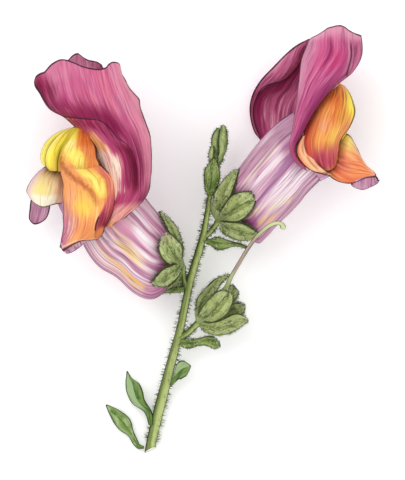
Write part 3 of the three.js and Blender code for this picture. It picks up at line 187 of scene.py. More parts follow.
RIGHT_SEPALS = [
    [
        [[214.6, 214, 10.4], [221, 213, 12.6]], [[213.2, 204, 11.5], [226.5, 203, 14]],
        [[214.9, 194, 11.8], [231.5, 194.5, 14.4]], [[220.6, 184.6, 11.8], [234.4, 186, 14]],
        [[228.3, 175, 11.8], [237.4, 176.6, 13.2]], [[237, 169.3, 12], [238.2, 169.4, 12.2]],
    ],
    [
        [[220, 215, 12.8], [222.4, 221, 12.4]], [[224.6, 205.4, 15.4], [232, 221.6, 15.2]],
        [[232, 196, 17], [240.4, 220.4, 16.8]], [[240.4, 192.4, 17.6], [248, 214.2, 17.2]],
        [[248.4, 192, 17.4], [252.8, 207, 17.2]], [[254.2, 196, 17], [255.4, 199.6, 17]],
    ],
    [
        [[220.6, 220.6, 12.2], [219.6, 224.8, 10.8]], [[229, 222, 14.8], [222.6, 231, 11.8]],
        [[238.4, 222, 16], [230, 236.8, 12.8]], [[247.2, 225, 16.2], [240, 240.2, 13.2]],
        [[254, 229.6, 15.8], [250, 239.6, 13.6]], [[258, 233.4, 15], [257.2, 236, 14.6]],
    ],
    [
        [[214.8, 212, 7.4], [217, 220, 5.6]], [[219, 197, 4.2], [228, 215, 3]],
        [[230, 184, 3], [239, 205, 1.9]], [[240, 178, 2.6], [248, 194, 1.6]],
        [[249, 179.6, 2.2], [250.6, 182, 2]],
    ],
    [
        [[219, 218, 5.4], [218, 225, 7]], [[229, 218, 2.9], [224, 233, 4.4]],
        [[240, 218, 1.9], [236, 237, 3.4]], [[250, 220, 1.6], [246, 233, 2.6]],
        [[257, 222.4, 1.8], [256.4, 224.6, 1.9]],
    ],
]
SPENT_CUP = [
    [195.6, 320.2, 200.4, 325.6, 7.6, 0.75], [194.8, 314.8, 206.2, 327.4, 7.8, 1.9],
    [196, 309, 213, 328, 8, 2.8],
]
SPENT_CUP_POLE = [197, 323.8, 7.5]
SPENT_SEPALS = [
    [
        [[197, 317.6, 7], [201, 315, 6]], [[195.8, 309, 6], [203, 309, 5.4]],
        [[197, 299.5, 5.6], [209, 300.5, 5.4]], [[204.4, 290, 5.4], [216, 291.6, 5.2]],
        [[213, 281, 5.6], [220.4, 284.4, 5.4]], [[221, 276.6, 5.8], [225.8, 279, 5.6]],
        [[229.2, 274.2, 6], [229.8, 275.2, 6]],
    ],
    [
        [[198.6, 318.6, 9.2], [203, 322.6, 9.4]], [[199.6, 312, 11], [214.6, 321.3, 11.4]],
        [[204, 304.5, 12.6], [226, 314.8, 12.8]], [[211, 297, 13], [231.5, 306, 13]],
        [[219, 291.4, 13], [233, 298, 12.8]], [[227, 290.2, 12.6], [229.6, 291, 12.6]],
    ],
    [
        [[203.6, 315, 5.5], [206.6, 320, 5.5]], [[215, 303, 6], [221, 311, 6]],
        [[223.4, 292, 6.6], [232, 303, 6.6]], [[229.4, 286.4, 7.2], [237.4, 296.4, 7.2]],
        [[234.6, 286, 7.6], [237.6, 289.8, 7.6]],
    ],
    [
        [[204.4, 318.6, 5.6], [204, 324.4, 6]], [[219, 309, 6.8], [219, 321, 7]],
        [[233, 304, 8], [230, 317, 8]], [[240.5, 303.8, 8.6], [240, 315, 8.6]],
        [[245.6, 307.5, 8.8], [245, 311, 8.8]],
    ],
    [
        [[202, 321.4, 9.6], [200, 326.6, 8.6]], [[210.5, 322.5, 11], [205.5, 331.6, 9.2]],
        [[220, 320.6, 11.8], [216, 335, 9.8]], [[230, 315.4, 12], [228, 333.6, 10]],
        [[239.4, 313.8, 11.6], [237, 329.2, 10.2]], [[247.8, 318.8, 10.6], [248.4, 321, 10.4]],
    ],
]
LEFT_TUBE_POLE = [177, 262, 8]
LEFT_TUBE = [
    [174.6, 248, 174.6, 278, 7.8, 3.4], [170.4, 236, 167, 289, 7.9, 5.3],
    [165.6, 224.6, 158.6, 297, 8.3, 6.2], [160.4, 216, 147.6, 299.6, 9, 6.6],
    [153, 206.6, 133, 293, 10.2, 6.8], [146, 197.6, 116.4, 278, 11.4, 6.8],
    [140.6, 190, 101.3, 269, 12.6, 6.8], [136, 184, 91.6, 259, 13.4, 6.8],
    [130, 177, 83.6, 245.4, 14, 6.9], [121, 168, 80, 234, 14.4, 7],
]
RIGHT_TUBE_POLE = [226, 213, 9]
RIGHT_TUBE = [
    [226.4, 198, 240.6, 226, 9, 3.4], [228.4, 185, 250, 238, 9.2, 5.2],
    [233.4, 175, 258.6, 243.6, 9.7, 6.1], [241.4, 164, 266.4, 237.6, 10.6, 6.5],
    [251.3, 151, 277, 226, 11.6, 6.7], [260, 140.3, 289, 214.4, 12.5, 6.8],
    [268.7, 130.6, 299, 203.8, 13.2, 6.8], [278, 122, 307, 193.4, 13.9, 6.8],
    [293, 111.6, 321, 179.4, 14.4, 6.8],
]
LEFT_NEAR_PAGE = [
    [
        [112.6, 225, 21.4], [110.6, 225.8, 21.6], [108.6, 226.4, 21.6], [106.4, 226.8, 21.2],
        [104.2, 227.2, 20.6], [101.6, 227.6, 19.8], [99, 228, 19],
    ],
    [
        [129, 212, 21.6], [124.4, 213.4, 22.2], [119.6, 214.4, 22.4], [115, 215, 22.2],
        [110, 215.4, 21.2], [105, 215.6, 19.6], [100, 215.6, 18.4],
    ],
    [
        [146, 196.5, 20], [141, 197, 21.4], [135, 198, 21.8], [127, 199, 22.6], [118.6, 200, 22.6],
        [111, 200, 20], [104, 200, 18],
    ],
    [
        [152, 178, 20.8], [146, 179, 22.2], [138.5, 180, 21.2], [129, 181, 22.8], [119, 182, 23.2],
        [110.6, 182, 20.4], [103, 182, 17.8],
    ],
    [
        [151.8, 155, 22], [145.5, 157, 23.4], [137, 160, 21.6], [127, 161, 22.8], [115, 161, 23.6],
        [105, 162, 21.2], [96, 163, 17.8],
    ],
    [
        [149, 131, 23], [141, 134, 24.4], [131, 141, 22.6], [120, 145, 22.6], [108, 146, 23.2],
        [98, 147, 21], [89, 147, 17.4],
    ],
    [
        [142.2, 109, 24], [133, 113, 25.4], [121.5, 119, 25], [109, 127, 22.6], [97, 130, 22.6],
        [87, 131, 20.6], [79, 131, 17.6],
    ],
    [
        [135, 92, 24.5], [125, 95, 26], [112, 100, 26.4], [99, 107, 25.4], [87, 115, 22.8],
        [75, 118, 21], [65, 117.5, 19.6],
    ],
    [
        [127.5, 79, 24.6], [118, 79, 26], [106, 83, 27.2], [92, 88, 27.2], [77, 95, 26.2],
        [62, 102, 24.4], [48.5, 107.5, 21.4],
    ],
    [
        [121, 69, 24], [114, 62.2, 25], [103.5, 68.6, 27], [87, 68, 27.8], [68, 60.5, 27],
        [48, 69.5, 25.4], [34.5, 82, 22],
    ],
]
LEFT_FAR_PAGE = [
    [[100, 222, 7], [96, 223, 6.9], [92, 223.5, 6.9], [88, 224, 7], [84, 224, 7.4]],
    [[116, 207, 5], [110, 208, 5.2], [103, 208, 5.6], [96, 208, 6.2], [89, 208, 7.2]],
    [[127, 186, 3.4], [119, 187, 3.8], [109, 188, 4.6], [99, 189, 5.6], [90, 190, 7]],
    [[131, 160, 1.6], [121, 162, 1.8], [108, 164, 3.4], [95, 165, 5.8], [85, 165, 8.6]],
    [[128, 134, 0.5], [117, 136, 0.5], [103, 139, 2.8], [88, 142, 6.6], [80, 146, 11.4]],
    [[122, 108, 0.4], [111, 112, 0.3], [97, 117, 3.6], [83, 124, 9], [79, 131, 16.6]],
    [[114, 88, 1.2], [103, 92, 1.4], [88, 98, 5], [73, 106, 12], [65, 117.5, 19.4]],
    [[107, 72, 3], [96, 74, 3.4], [81, 80, 7], [62, 90, 14], [48.5, 107.5, 21.2]],
    [[102.5, 62.4, 5], [90, 59.5, 5.4], [77, 53, 8], [60, 67, 15], [34.8, 82.4, 21.8]],
]
LEFT_ROOF = [
    [[108, 188, 20], [117, 176, 18], [120, 171, 14.4], [115, 175, 9.4], [101, 187, 5.8]],
    [[99, 164, 19], [107, 155, 17.4], [110, 151, 14.4], [103, 155, 10], [88, 164, 7.6]],
    [[91, 147, 18.2], [95, 141, 17], [96, 138, 14.8], [90, 140, 12], [80, 147, 10.6]],
    [[80, 131, 17.8], [81, 129, 17.4], [81.6, 128, 16.6], [80, 129, 16], [78, 131, 15.6]],
]
LEFT_PALATE = [
    [
        [72, 128.5, 17.4], [75, 127.6, 17.9], [77, 127.2, 18], [79, 127.2, 18], [81, 127.7, 18],
        [83, 128.7, 17.6],
    ],
    [
        [62, 133.5, 18.4], [66, 134, 20], [71.5, 135, 20.4], [77, 134.5, 21], [82, 133.5, 20.6],
        [87.4, 133.6, 19.2],
    ],
    [
        [54.5, 140, 18.8], [60, 141, 21.4], [67, 141.5, 21.2], [75, 141, 23], [83, 140.5, 22.6],
        [91.8, 140.4, 20.2],
    ],
    [
        [48.5, 148.5, 19], [54, 149.5, 22.2], [62, 149.5, 21.6], [72, 149.5, 24.2], [84, 149, 24],
        [96.2, 148.5, 21.2],
    ],
    [
        [45.6, 158, 19], [51, 158.5, 22.4], [59.3, 158.5, 21.2], [70, 158, 24.6],
        [84, 158.5, 24.6], [97.6, 158, 21.8],
    ],
    [
        [46.4, 166, 18.4], [51.5, 166.5, 21.4], [58.5, 165.5, 20.4], [68, 165, 23.6],
        [83, 166, 24], [101, 163.6, 21.8],
    ],
    [
        [50.5, 170.5, 17.4], [53.5, 171.3, 18.4], [58.5, 171.4, 18.6], [66, 171, 21.2],
        [82, 171.6, 22.2], [102.6, 168, 21],
    ],
]
LEFT_FAR_HUMP = [
    [[74, 131, 11], [70, 128.4, 14.2], [72, 128.8, 16.6], [74, 128.2, 15.2]],
    [[64, 137, 10], [60, 132, 14.4], [61.6, 133.6, 17.8], [64.6, 134, 16.9]],
    [[56, 146, 9.8], [50, 138.6, 14.6], [54, 140.2, 18.2], [57.6, 140.6, 17.8]],
    [[50, 156, 9.8], [43.4, 147.6, 14.8], [48, 148.8, 18.4], [51.8, 149, 18.4]],
    [[48, 163, 10.4], [41, 157, 14.8], [45.2, 158.5, 18.4], [49, 158.4, 18.6]],
    [[49, 166, 12.4], [43, 164.4, 15], [46, 166, 17.8], [49.6, 166.2, 17.8]],
]
LEFT_NEAR_LOBE = [
    [
        [63.2, 183, 18.8], [70, 184, 21.2], [79, 185, 22.8], [91, 183, 23.6], [103, 180, 23.2],
        [115, 180, 21],
    ],
    [
        [63, 200, 19.5], [71, 201, 22], [80, 201, 23.6], [93, 200, 24.6], [105, 197, 24.2],
        [115.7, 195, 21.6],
    ],
    [
        [63.6, 216, 20], [72, 217, 22.4], [82, 217.5, 24], [92, 216.5, 24.8], [102, 213, 24.6],
        [112.8, 212, 22],
    ],
    [
        [62.6, 231, 20.8], [71, 231, 22.8], [80, 230, 24.2], [89, 229.4, 24.6], [97, 228.6, 24.2],
        [105.6, 226.6, 22.8],
    ],
    [
        [60, 243, 22.3], [67, 241.5, 23.6], [75, 238.5, 24.2], [84, 236.5, 24.3], [93, 237, 23.6],
        [103, 234, 22.2],
    ],
    [
        [60.5, 252.5, 23.2], [66, 248.5, 24.2], [72, 244.5, 24], [79.5, 240.8, 23.6],
        [88, 239.5, 22.8], [98, 239, 21.6],
    ],
    [
        [62, 254, 22], [69, 253.2, 22], [74.4, 251, 21.6], [80.6, 246.6, 21.2], [85.6, 242, 21],
        [93, 240.4, 20.2],
    ],
]
LEFT_MIDDLE_LOBE = [
    [[45, 166.4, 15], [49.6, 168, 15.6], [54, 169, 15.9], [59, 169.8, 16], [65, 170.6, 16]],
    [[36.6, 173.6, 15.6], [42, 175, 17.2], [49, 176, 17.6], [57, 178, 17.5], [65, 180, 16.8]],
    [[29.5, 183, 15.8], [37, 186, 18.2], [46, 188, 19], [56, 188, 18.6], [65.5, 189, 17.2]],
    [[26.5, 191, 15.4], [34, 196, 17.8], [44, 198, 18.6], [54, 197, 18.4], [64, 198, 17.2]],
    [[31, 199.5, 14.4], [37, 204.5, 16], [44, 207.3, 17], [52, 205, 17.2], [61, 203.4, 16.6]],
]
LEFT_FAR_LOBE = [
    [[44, 179, 12.6], [47, 181, 12.2], [50, 183, 11.8], [54, 184, 11.4]],
    [[36, 190, 10.8], [42, 191, 10.2], [48, 192, 10], [54, 192, 10.4]],
    [[31, 199, 9.8], [37, 201, 8.8], [44, 202, 8.8], [50.5, 203, 9.8]],
    [[29.5, 210, 8.8], [35, 212, 7.8], [42, 212, 8], [49, 211, 9.1]],
    [[28.8, 218, 8.4], [33.5, 221, 7.4], [40, 220, 7.6], [46.5, 217.5, 8.4]],
    [[31, 222.5, 8.2], [34, 224.3, 7.8], [38.5, 223.5, 8], [43, 221, 8.4]],
]
LEFT_APRON = [
    [[98, 228, 22], [86, 233, 19], [79, 236, 14.4], [78, 232, 10.8], [82, 224, 7.6]],
    [[67, 201, 19.4], [65, 204, 17.4], [62, 209, 14.6], [61, 208, 12], [66, 200, 9.6]],
    [[66.6, 184, 18.6], [65, 186, 16.8], [60, 189, 14.2], [54, 189, 12], [54, 186, 10.6]],
    [[66, 176.2, 17], [64.6, 176, 16], [58, 176, 14], [50, 177, 12.8], [44, 179, 12.2]],
]
RIGHT_NEAR_PAGE = [
    [
        [306.4, 170.8, 21.8], [306, 170.2, 22.2], [305.7, 169.6, 22.4], [305.4, 169, 22.5],
        [305.1, 168.4, 22.4], [304.8, 167.8, 22.2], [304.4, 167, 21.8],
    ],
    [
        [296.2, 163.4, 22], [296.5, 162.9, 22.5], [296.9, 162.4, 22.8], [297.3, 161.8, 22.9],
        [297.6, 161.3, 22.8], [298, 160.8, 22.5], [298.4, 160.2, 22],
    ],
    [
        [290.5, 154, 21.8], [291.1, 153.8, 22.5], [291.7, 153.5, 22.8], [292.3, 153.2, 23],
        [292.9, 152.8, 22.9], [293.6, 152.4, 22.6], [294.3, 152, 22],
    ],
    [
        [289.6, 144, 21.8], [290.5, 144.2, 22.5], [291.5, 144.4, 23], [292.4, 144.6, 23.2],
        [293.4, 144.7, 23.1], [294.3, 144.9, 22.8], [295.3, 145, 22.2],
    ],
    [
        [291.9, 132, 22], [293.6, 132.4, 23.1], [295.3, 132.8, 23.6], [297, 133.2, 23.9],
        [298.7, 133.5, 23.7], [300.4, 133.8, 23.2], [302.2, 134, 22.4],
    ],
    [
        [294.5, 115, 22], [297.2, 115.6, 23.5], [300.2, 116, 24.3], [303.2, 116.3, 24.6],
        [306.2, 116.2, 24.4], [309.2, 115.9, 23.8], [312, 115.4, 22.8],
    ],
    [
        [296.7, 99, 22], [301, 99.8, 24], [305.6, 100.3, 25.1], [310.2, 100.5, 25.5],
        [314.9, 100.3, 25.2], [319.5, 99.7, 24.4], [324, 98.6, 23.2],
    ],
    [
        [298.6, 82, 22], [305, 82.8, 24.4], [311.6, 83.5, 25.8], [318.2, 84, 26.3],
        [324.8, 84.3, 26], [331.4, 84.4, 25], [338, 83.8, 23.4],
    ],
    [
        [301, 61, 22], [310.4, 63.4, 24.7], [320, 65.8, 26.4], [329.4, 68, 27],
        [338.4, 70.6, 26.6], [346.6, 73.6, 25.2], [352.6, 71.6, 22.6],
    ],
    [
        [305.4, 48.6, 22], [316, 50, 24.8], [326.6, 52, 26.6], [336.6, 54.4, 27.2],
        [344.6, 56.4, 26.6], [350.4, 57.6, 25], [360.8, 57.6, 22],
    ],
    [
        [307.4, 43.4, 22], [318, 42, 24.8], [328, 41, 26.6], [337, 41.6, 27.1],
        [344.4, 43.6, 26.5], [349.8, 45.6, 25], [362, 45, 22],
    ],
    [
        [309.6, 39.8, 21.8], [319, 34, 24.2], [329, 28.2, 25.6], [337.4, 26.3, 26],
        [343.6, 27.2, 25.8], [349.4, 31.6, 24.8], [360.6, 36, 22.2],
    ],
]
RIGHT_FAR_PAGE = [
    [
        [262, 141, 4.6], [268, 146, 4.4], [276, 150, 4.6], [284, 152, 5.2], [292, 153, 6.4],
        [299, 152, 8],
    ],
    [
        [254, 130, 3.6], [259, 132, 2], [270, 135, 2.6], [283, 137, 4.2], [295, 138, 6.6],
        [304, 136, 10],
    ],
    [
        [250, 112, 3.4], [254.8, 113, 1.6], [268, 115, 0.5], [284, 117, 2.6], [300, 118, 6.8],
        [312, 117, 14],
    ],
    [
        [252, 96, 3.8], [257.2, 97, 1.8], [271, 98, 0.1], [288, 100, 1.7], [306, 101, 7.6],
        [324, 99.6, 17.8],
    ],
    [[260, 81, 5], [268, 86.4, 4.2], [281, 86, 1], [296, 87, 2], [315, 87, 9], [337.6, 84.4, 20.8]],
    [
        [273.3, 66.7, 6.4], [281, 77, 6], [291, 74, 2.6], [302, 74, 3.4], [322, 73, 10.4],
        [352, 72.4, 21.4],
    ],
    [
        [287.6, 52.3, 7.6], [293, 64, 7.4], [300, 61, 4.8], [309, 60, 5.8], [329, 59, 12],
        [360.4, 58.4, 21.2],
    ],
    [
        [297.4, 44.6, 8.6], [301, 49, 8.6], [306, 47.6, 7.4], [314, 46, 8.8], [333, 45, 14],
        [361.6, 46, 21.2],
    ],
    [
        [308.6, 38.8, 10], [312, 38.6, 10.2], [316, 38, 11], [323, 37, 12.6], [338, 35.6, 16.6],
        [360.2, 37, 21.6],
    ],
]
RIGHT_ROOF = [
    [[292.4, 145, 22.2], [295, 148, 18.4], [298, 150, 13], [299.4, 152, 8.2]],
    [[297, 133.2, 22.9], [299, 134, 18.6], [302, 135, 14], [304, 136, 10]],
    [[304, 116.3, 23.5], [306, 116, 20], [309, 116.6, 17], [312, 117, 14]],
    [[313, 100.5, 24.3], [316, 99.6, 21.6], [320, 99.6, 19.8], [324, 99.6, 18]],
    [[326, 84.3, 24.8], [331, 83.6, 23.4], [335, 84, 22], [337.6, 84.4, 21]],
]
RIGHT_PALATE = [
    [
        [334, 88, 17.6], [335.5, 86, 18.2], [337.5, 84.2, 18.4], [340.5, 84.7, 18.2],
        [343.5, 86.2, 17],
    ],
    [[325, 97.5, 18.8], [330, 96, 21], [336.5, 94, 21.8], [343, 92.8, 20.8], [348.4, 92.7, 18]],
    [
        [316, 109, 19.4], [323, 107.8, 22.4], [333, 106.4, 23.4], [343.5, 104.8, 22.4],
        [352.8, 103.6, 18.4],
    ],
    [
        [308.6, 121, 19.4], [317, 119.8, 22.8], [329, 118.4, 24.4], [342, 117, 23.2],
        [354.4, 113.6, 18.6],
    ],
    [
        [304, 133, 21.2], [313, 131.8, 22.8], [325.5, 130.4, 24.6], [338, 128.7, 23.4],
        [349.3, 126.7, 19],
    ],
    [
        [303.4, 144, 21.8], [312, 143.7, 22.6], [322, 143.2, 24.2], [332, 141.7, 23.2],
        [340.5, 139.7, 19.8],
    ],
    [
        [307, 155.5, 21.6], [314, 155.5, 22], [322, 155.5, 23.2], [330.5, 154, 22.4],
        [337.2, 152, 20],
    ],
    [
        [314.4, 164.6, 20.2], [319.5, 165.8, 20.6], [325, 166.3, 21.6], [331, 164.8, 21],
        [336, 162, 19.6],
    ],
    [
        [324, 170.2, 18.2], [326, 170.9, 18.8], [328, 171, 19], [330.5, 170.5, 18.8],
        [333, 168.8, 18.4],
    ],
]
RIGHT_FAR_HUMP = [
    [[342, 90, 12], [344, 87, 14.6], [343, 86.2, 17], [341.6, 86, 16.2]],
    [[345, 97, 10.8], [349, 94, 14], [348.4, 93, 17.4], [346.4, 93, 17.2]],
    [[348, 107, 10], [353, 104, 14], [352.6, 103.7, 17.8], [349.4, 104, 18.2]],
    [[348, 117, 10], [353.6, 114, 14.2], [354, 113.8, 18], [350, 114.8, 18.8]],
    [[345, 129, 11], [348.8, 127, 14.8], [349, 126.9, 18.4], [345.4, 127.4, 18.8]],
    [[340, 140, 12.6], [342, 139, 16], [340.6, 139.6, 19.2], [337.8, 140.4, 18.8]],
]
RIGHT_NEAR_LOBE = [
    [
        [345, 133, 16.6], [339.6, 146, 17.9], [337, 158, 18.1], [333.4, 167, 17.6],
        [324.6, 172.4, 17.4],
    ],
    [[349, 135.4, 17.4], [346, 149, 19.8], [344, 161.5, 20.4], [340, 172, 20], [334, 179.6, 18.8]],
    [
        [351.4, 138.4, 17.2], [350, 151, 19.8], [349.5, 164, 20.7], [347.5, 175, 20.4],
        [342, 182.8, 19],
    ],
    [
        [354.8, 144.6, 17], [354.6, 155, 19.4], [354.8, 165.6, 20.6], [353.4, 176, 20.4],
        [351, 183.6, 19.2],
    ],
    [
        [358.5, 152, 16.9], [360, 159, 18.9], [360.5, 167, 20.1], [360.2, 175, 20.2],
        [358.5, 181.2, 19.6],
    ],
    [
        [364, 163.4, 17], [366.5, 167, 18.6], [367.3, 170.5, 19.7], [367.2, 174.5, 20.1],
        [366.2, 178, 19.9],
    ],
    [
        [371.5, 170.2, 17], [373.6, 171.8, 18], [375.2, 174, 18.9], [375.8, 175.8, 19.6],
        [376, 177.2, 19.8],
    ],
]
RIGHT_CURL = [
    [
        [350.6, 181.4, 19.7], [357.5, 179.2, 19.9], [365.5, 176.4, 20], [371, 175.4, 19.9],
        [375.2, 175.4, 19.4],
    ],
    [
        [351.4, 184.4, 18.2], [358, 185.4, 18.2], [365, 183.6, 18.2], [371.6, 181.4, 18.4],
        [377.8, 179, 18.6],
    ],
    [
        [352.4, 184.6, 17], [358, 188.2, 16.6], [363.6, 189.2, 16.4], [370, 186, 16.8],
        [376.4, 182.6, 17.2],
    ],
]
RIGHT_MIDDLE_LOBE = [
    [[341, 137, 15.4], [338.4, 148, 15.4], [334, 160, 15.4]],
    [[349.6, 143, 14.2], [350, 154, 14], [345, 166, 14.2]],
    [[356, 153, 13.6], [357.4, 162, 13.2], [353, 172, 13.6]],
    [[361, 163, 13.6], [361.6, 168, 13.4], [359, 173, 13.8]],
]
RIGHT_FAR_LOBE = [
    [[337.6, 150, 10.9], [334, 156, 10.4], [329, 163, 9.9]],
    [[345, 152, 9], [341, 161, 7.8], [335, 169, 8.2]],
    [[350, 158, 7], [348, 166, 6.2], [343, 173, 6.8]],
    [[353, 166.6, 6.4], [351.6, 170, 6], [349, 173, 6.4]],
]
RIGHT_APRON = [
    [
        [315, 172.4, 20.8], [320.4, 176.6, 18.4], [322, 179.4, 15], [320.6, 177, 11.4],
        [316, 166, 8.2],
    ],
    [
        [325.4, 175, 18.4], [328.4, 175.4, 17], [330.4, 174.6, 14.8], [329.4, 171, 12],
        [325, 164, 9.6],
    ],
    [[334, 171, 17.6], [336, 169.6, 16.6], [337, 167, 14.8], [336, 162, 12.2], [333, 157, 10]],
    [[340, 159, 18.2], [341, 158, 16.6], [341, 156, 14.6], [340, 153, 12.4], [338, 151, 10.4]],
]
RIGHT_STRIP = [
    [[301.6, 136, 22], [308.4, 136.6, 21.4]], [[296.6, 146, 22.4], [308.4, 146.4, 21.4]],
    [[296, 153, 22.5], [311, 155.4, 21.4]], [[300.4, 162, 22.5], [316.6, 164.2, 21.4]],
    [[309, 169.6, 22.2], [323, 170.2, 21.4]], [[319, 173.4, 20.9], [327, 172.6, 18]],
    [[327, 174.6, 19], [333, 174.6, 18]],
]
LEFT_PISTIL = [
    [173.4, 261.4, 8, 0.7], [169, 259.6, 8.1, 1.35], [164, 255.4, 8.5, 1.2], [158, 247, 9.2, 0.5],
    [147, 232, 10.6, 0.34], [130, 209, 12.8, 0.32], [113, 187, 15, 0.32], [103, 172, 16.2, 0.34],
    [98, 165, 16.8, 0.52], [96, 162.4, 17, 0.3],
]
RIGHT_PISTIL = [
    [229.4, 211.8, 9.1, 0.7], [233.6, 209.6, 9.3, 1.35], [238.4, 204.8, 9.8, 1.2],
    [244.6, 196, 10.6, 0.5], [256, 182, 12, 0.34], [273, 162, 14, 0.32], [289, 145, 15.6, 0.32],
    [300, 134, 16.6, 0.34], [305, 129, 17, 0.52], [307, 127, 17.2, 0.3],
]
SPENT_PISTIL = [
    [203.6, 319, 8.4, 0.9], [207.6, 313.6, 9, 1.9], [213, 306.4, 9.6, 2.25],
    [219, 298.6, 9.8, 1.7], [223.6, 292.4, 9.9, 0.9], [227, 286.6, 10.2, 0.58],
    [231, 277, 11.5, 0.46], [239.4, 262.6, 14, 0.42], [248, 248.3, 16.6, 0.42],
    [257.6, 235.8, 18.6, 0.42], [268, 226.6, 19.2, 0.42], [276, 223.2, 19, 0.42],
    [281, 224, 18.6, 0.48], [283.2, 227.6, 18, 0.62], [283.4, 229.4, 17.8, 0.3],
]
LEFT_STAMENS = [
    [[172.4, 252.8, 9.6], [160, 236, 11.4], [141, 210, 13.8], [122, 190, 16]],
    [[172.4, 252.8, 6.9], [158, 234, 7.6], [138, 211, 9.6], [117, 191, 11.6]],
    [[162.6, 263.6, 9.6], [150, 252, 12], [128, 232, 14.6], [108, 210, 16.6]],
    [[162.6, 263.6, 6.9], [149, 252, 7.6], [126, 232, 9.4], [105, 210, 11.4]],
]
RIGHT_STAMENS = [
    [[231.4, 201.4, 11], [243, 187, 12.6], [262, 165, 14.8], [283, 146, 17]],
    [[231.4, 201.4, 8.2], [244, 188, 8.6], [263, 166, 10.4], [284, 147, 12.8]],
    [[241.8, 211.8, 11], [252, 203, 13], [272, 186, 15.2], [291, 167, 17]],
    [[241.8, 211.8, 8.2], [253, 203, 8.6], [274, 185, 10.4], [293, 167, 12.2]],
]
LEFT_COLLAR = [[176.8, 251.9, 162.2, 268.1, 8.1, 2.4], [172.8, 248.4, 158.2, 264.6, 8.4, 2.4]]
RIGHT_COLLAR = [[226.9, 200.9, 242.3, 216.3, 9.4, 2.4], [230.9, 196.9, 246.3, 212.3, 9.8, 2.4]]

# ---- margins and folds, [x, y] in plan units ----
CREASE = [
    [56, 113.5], [62.8, 116], [76, 117.7], [87.7, 119], [101, 121], [110.7, 129],
    [118.3, 138.5], [130, 147], [137.5, 163], [138.4, 180], [139, 197], [122, 214], [106, 227],
]
NEAR_PAGE_SIDE = [
    [113.3, 225], [116.7, 221.7], [120, 219.6], [125, 217.8], [130, 213.3], [136.7, 208.3],
    [143.3, 200.8], [148, 193], [150.6, 184], [151.3, 173.3], [151.7, 151.7], [150.8, 138.3],
    [146.7, 125], [143.3, 115], [140.6, 107], [139.4, 100], [135, 94.4], [130, 88.3],
    [124.2, 78.3], [120.8, 70.8],
]
NEAR_PAGE_TOP = [
    [120.8, 70.8], [120.8, 66.7], [118.3, 63.7], [113.3, 62.5], [109.2, 64.7], [105.8, 68.3],
    [101.7, 69.5], [95, 69.5], [86.7, 68], [78.3, 65], [71.7, 62.2], [65.8, 60.5], [60, 60.5],
    [51.7, 65], [45, 72.2], [40.8, 73.7], [36.7, 76.7], [34.2, 82.5],
]
NEAR_PAGE_LOWER = [
    [99, 228], [100, 215.6], [104, 200], [103, 182], [96, 163], [89, 147], [79, 131],
    [65, 117.5], [56.7, 113], [50, 108.3], [45, 101.7], [40, 93.3], [35.6, 87], [34.2, 82.5],
]
FAR_PAGE_TOP = [
    [102.2, 67.5], [100, 63.3], [96.7, 61.2], [90, 60], [84.2, 57.5], [79.2, 53.7],
    [75.8, 53], [71.7, 55.8], [66, 62], [50, 72], [34.8, 82.4],
]
YELLOW_FLOW = [[67, 139], [73.5, 151], [80.5, 162.5], [88.5, 172.5], [97, 182], [103, 192]]
BROWN_FLOW = [[60, 158], [65, 168], [74, 177], [84, 185], [92, 194], [97, 204]]
NEAR_LOBE_FOLD = [
    [95.3, 230], [96.2, 224], [98.6, 217.6], [102.6, 210], [106.4, 201], [109, 191], [110.6, 180],
]
NEAR_LOBE_LEFT = [
    [59.2, 164.5], [61.7, 176.7], [63.5, 185], [62.7, 193.3], [63.7, 203.3], [63, 216.7],
    [63.5, 226.7], [61.7, 238.3], [60.2, 247.3],
]
FLAP = [[346.4, 33.5], [347, 38], [349.8, 46.6], [350, 58], [347.5, 68], [345.6, 76]]
RIM = [
    [304, 50], [299.5, 63], [290, 74], [281, 80], [269.4, 83.4], [260, 89.6], [253.6, 104],
    [253.4, 120], [258, 134],
]
CURL_END = [
    [351, 184.2], [353, 186.6], [358, 188.8], [363.4, 189.6], [371, 186.8], [376.6, 183.8],
    [379.2, 180.4],
]


# ---- numbers to points ----
def flat(points):
    """Plan units to millimetres, the height kept."""
    out = np.array(points, float)
    out[..., 0] = (out[..., 0] - CENTRE[0]) * STEP
    out[..., 1] = (CENTRE[1] - out[..., 1]) * STEP
    return out


def plan(points):
    """Millimetres back to plan units, the height kept."""
    out = np.array(points, float)
    out[..., 0] = out[..., 0] / STEP + CENTRE[0]
    out[..., 1] = CENTRE[1] - out[..., 1] / STEP
    return out


def curve(points, count):
    """count + 1 points of a Catmull-Rom curve through the first axis of an array."""
    p = np.asarray(points, float)
    p = np.concatenate([[2 * p[0] - p[1]], p, [2 * p[-1] - p[-2]]])
    place = np.linspace(0, len(p) - 3, count + 1)
    i = np.minimum(place.astype(int), len(p) - 4)
    f = (place - i).reshape((-1,) + (1,) * (p.ndim - 1))
    a, b, c, d = p[i], p[i + 1], p[i + 2], p[i + 3]
    slope0, slope1 = (c - a) / 2, (d - b) / 2
    rise = c - b
    square = 3 * rise - 2 * slope0 - slope1
    cube = slope0 + slope1 - 2 * rise
    return b + f * (slope0 + f * (square + f * cube))


def net(rows, down, across):
    """A smooth surface through rows of control points, sampled evenly."""
    wide = curve(np.swapaxes(flat(rows), 0, 1), across)
    return curve(np.swapaxes(wide, 0, 1), down)


def stretched(rows, share):
    """Rows whose first one is drawn out by a share of the step to the second."""
    rows = np.array(rows, float)
    rows[0] += (rows[0] - rows[1]) * share
    return rows


def unit(v):
    return v / np.maximum(np.linalg.norm(v, axis=-1, keepdims=True), 1e-9)


def normals_of(grid):
    down, across = np.gradient(grid, axis=0), np.gradient(grid, axis=1)
    return unit(np.cross(across, down))


def smooth(x, lo, hi):
    x = np.clip((x - lo) / (hi - lo), 0, 1)
    return x * x * (3 - 2 * x)


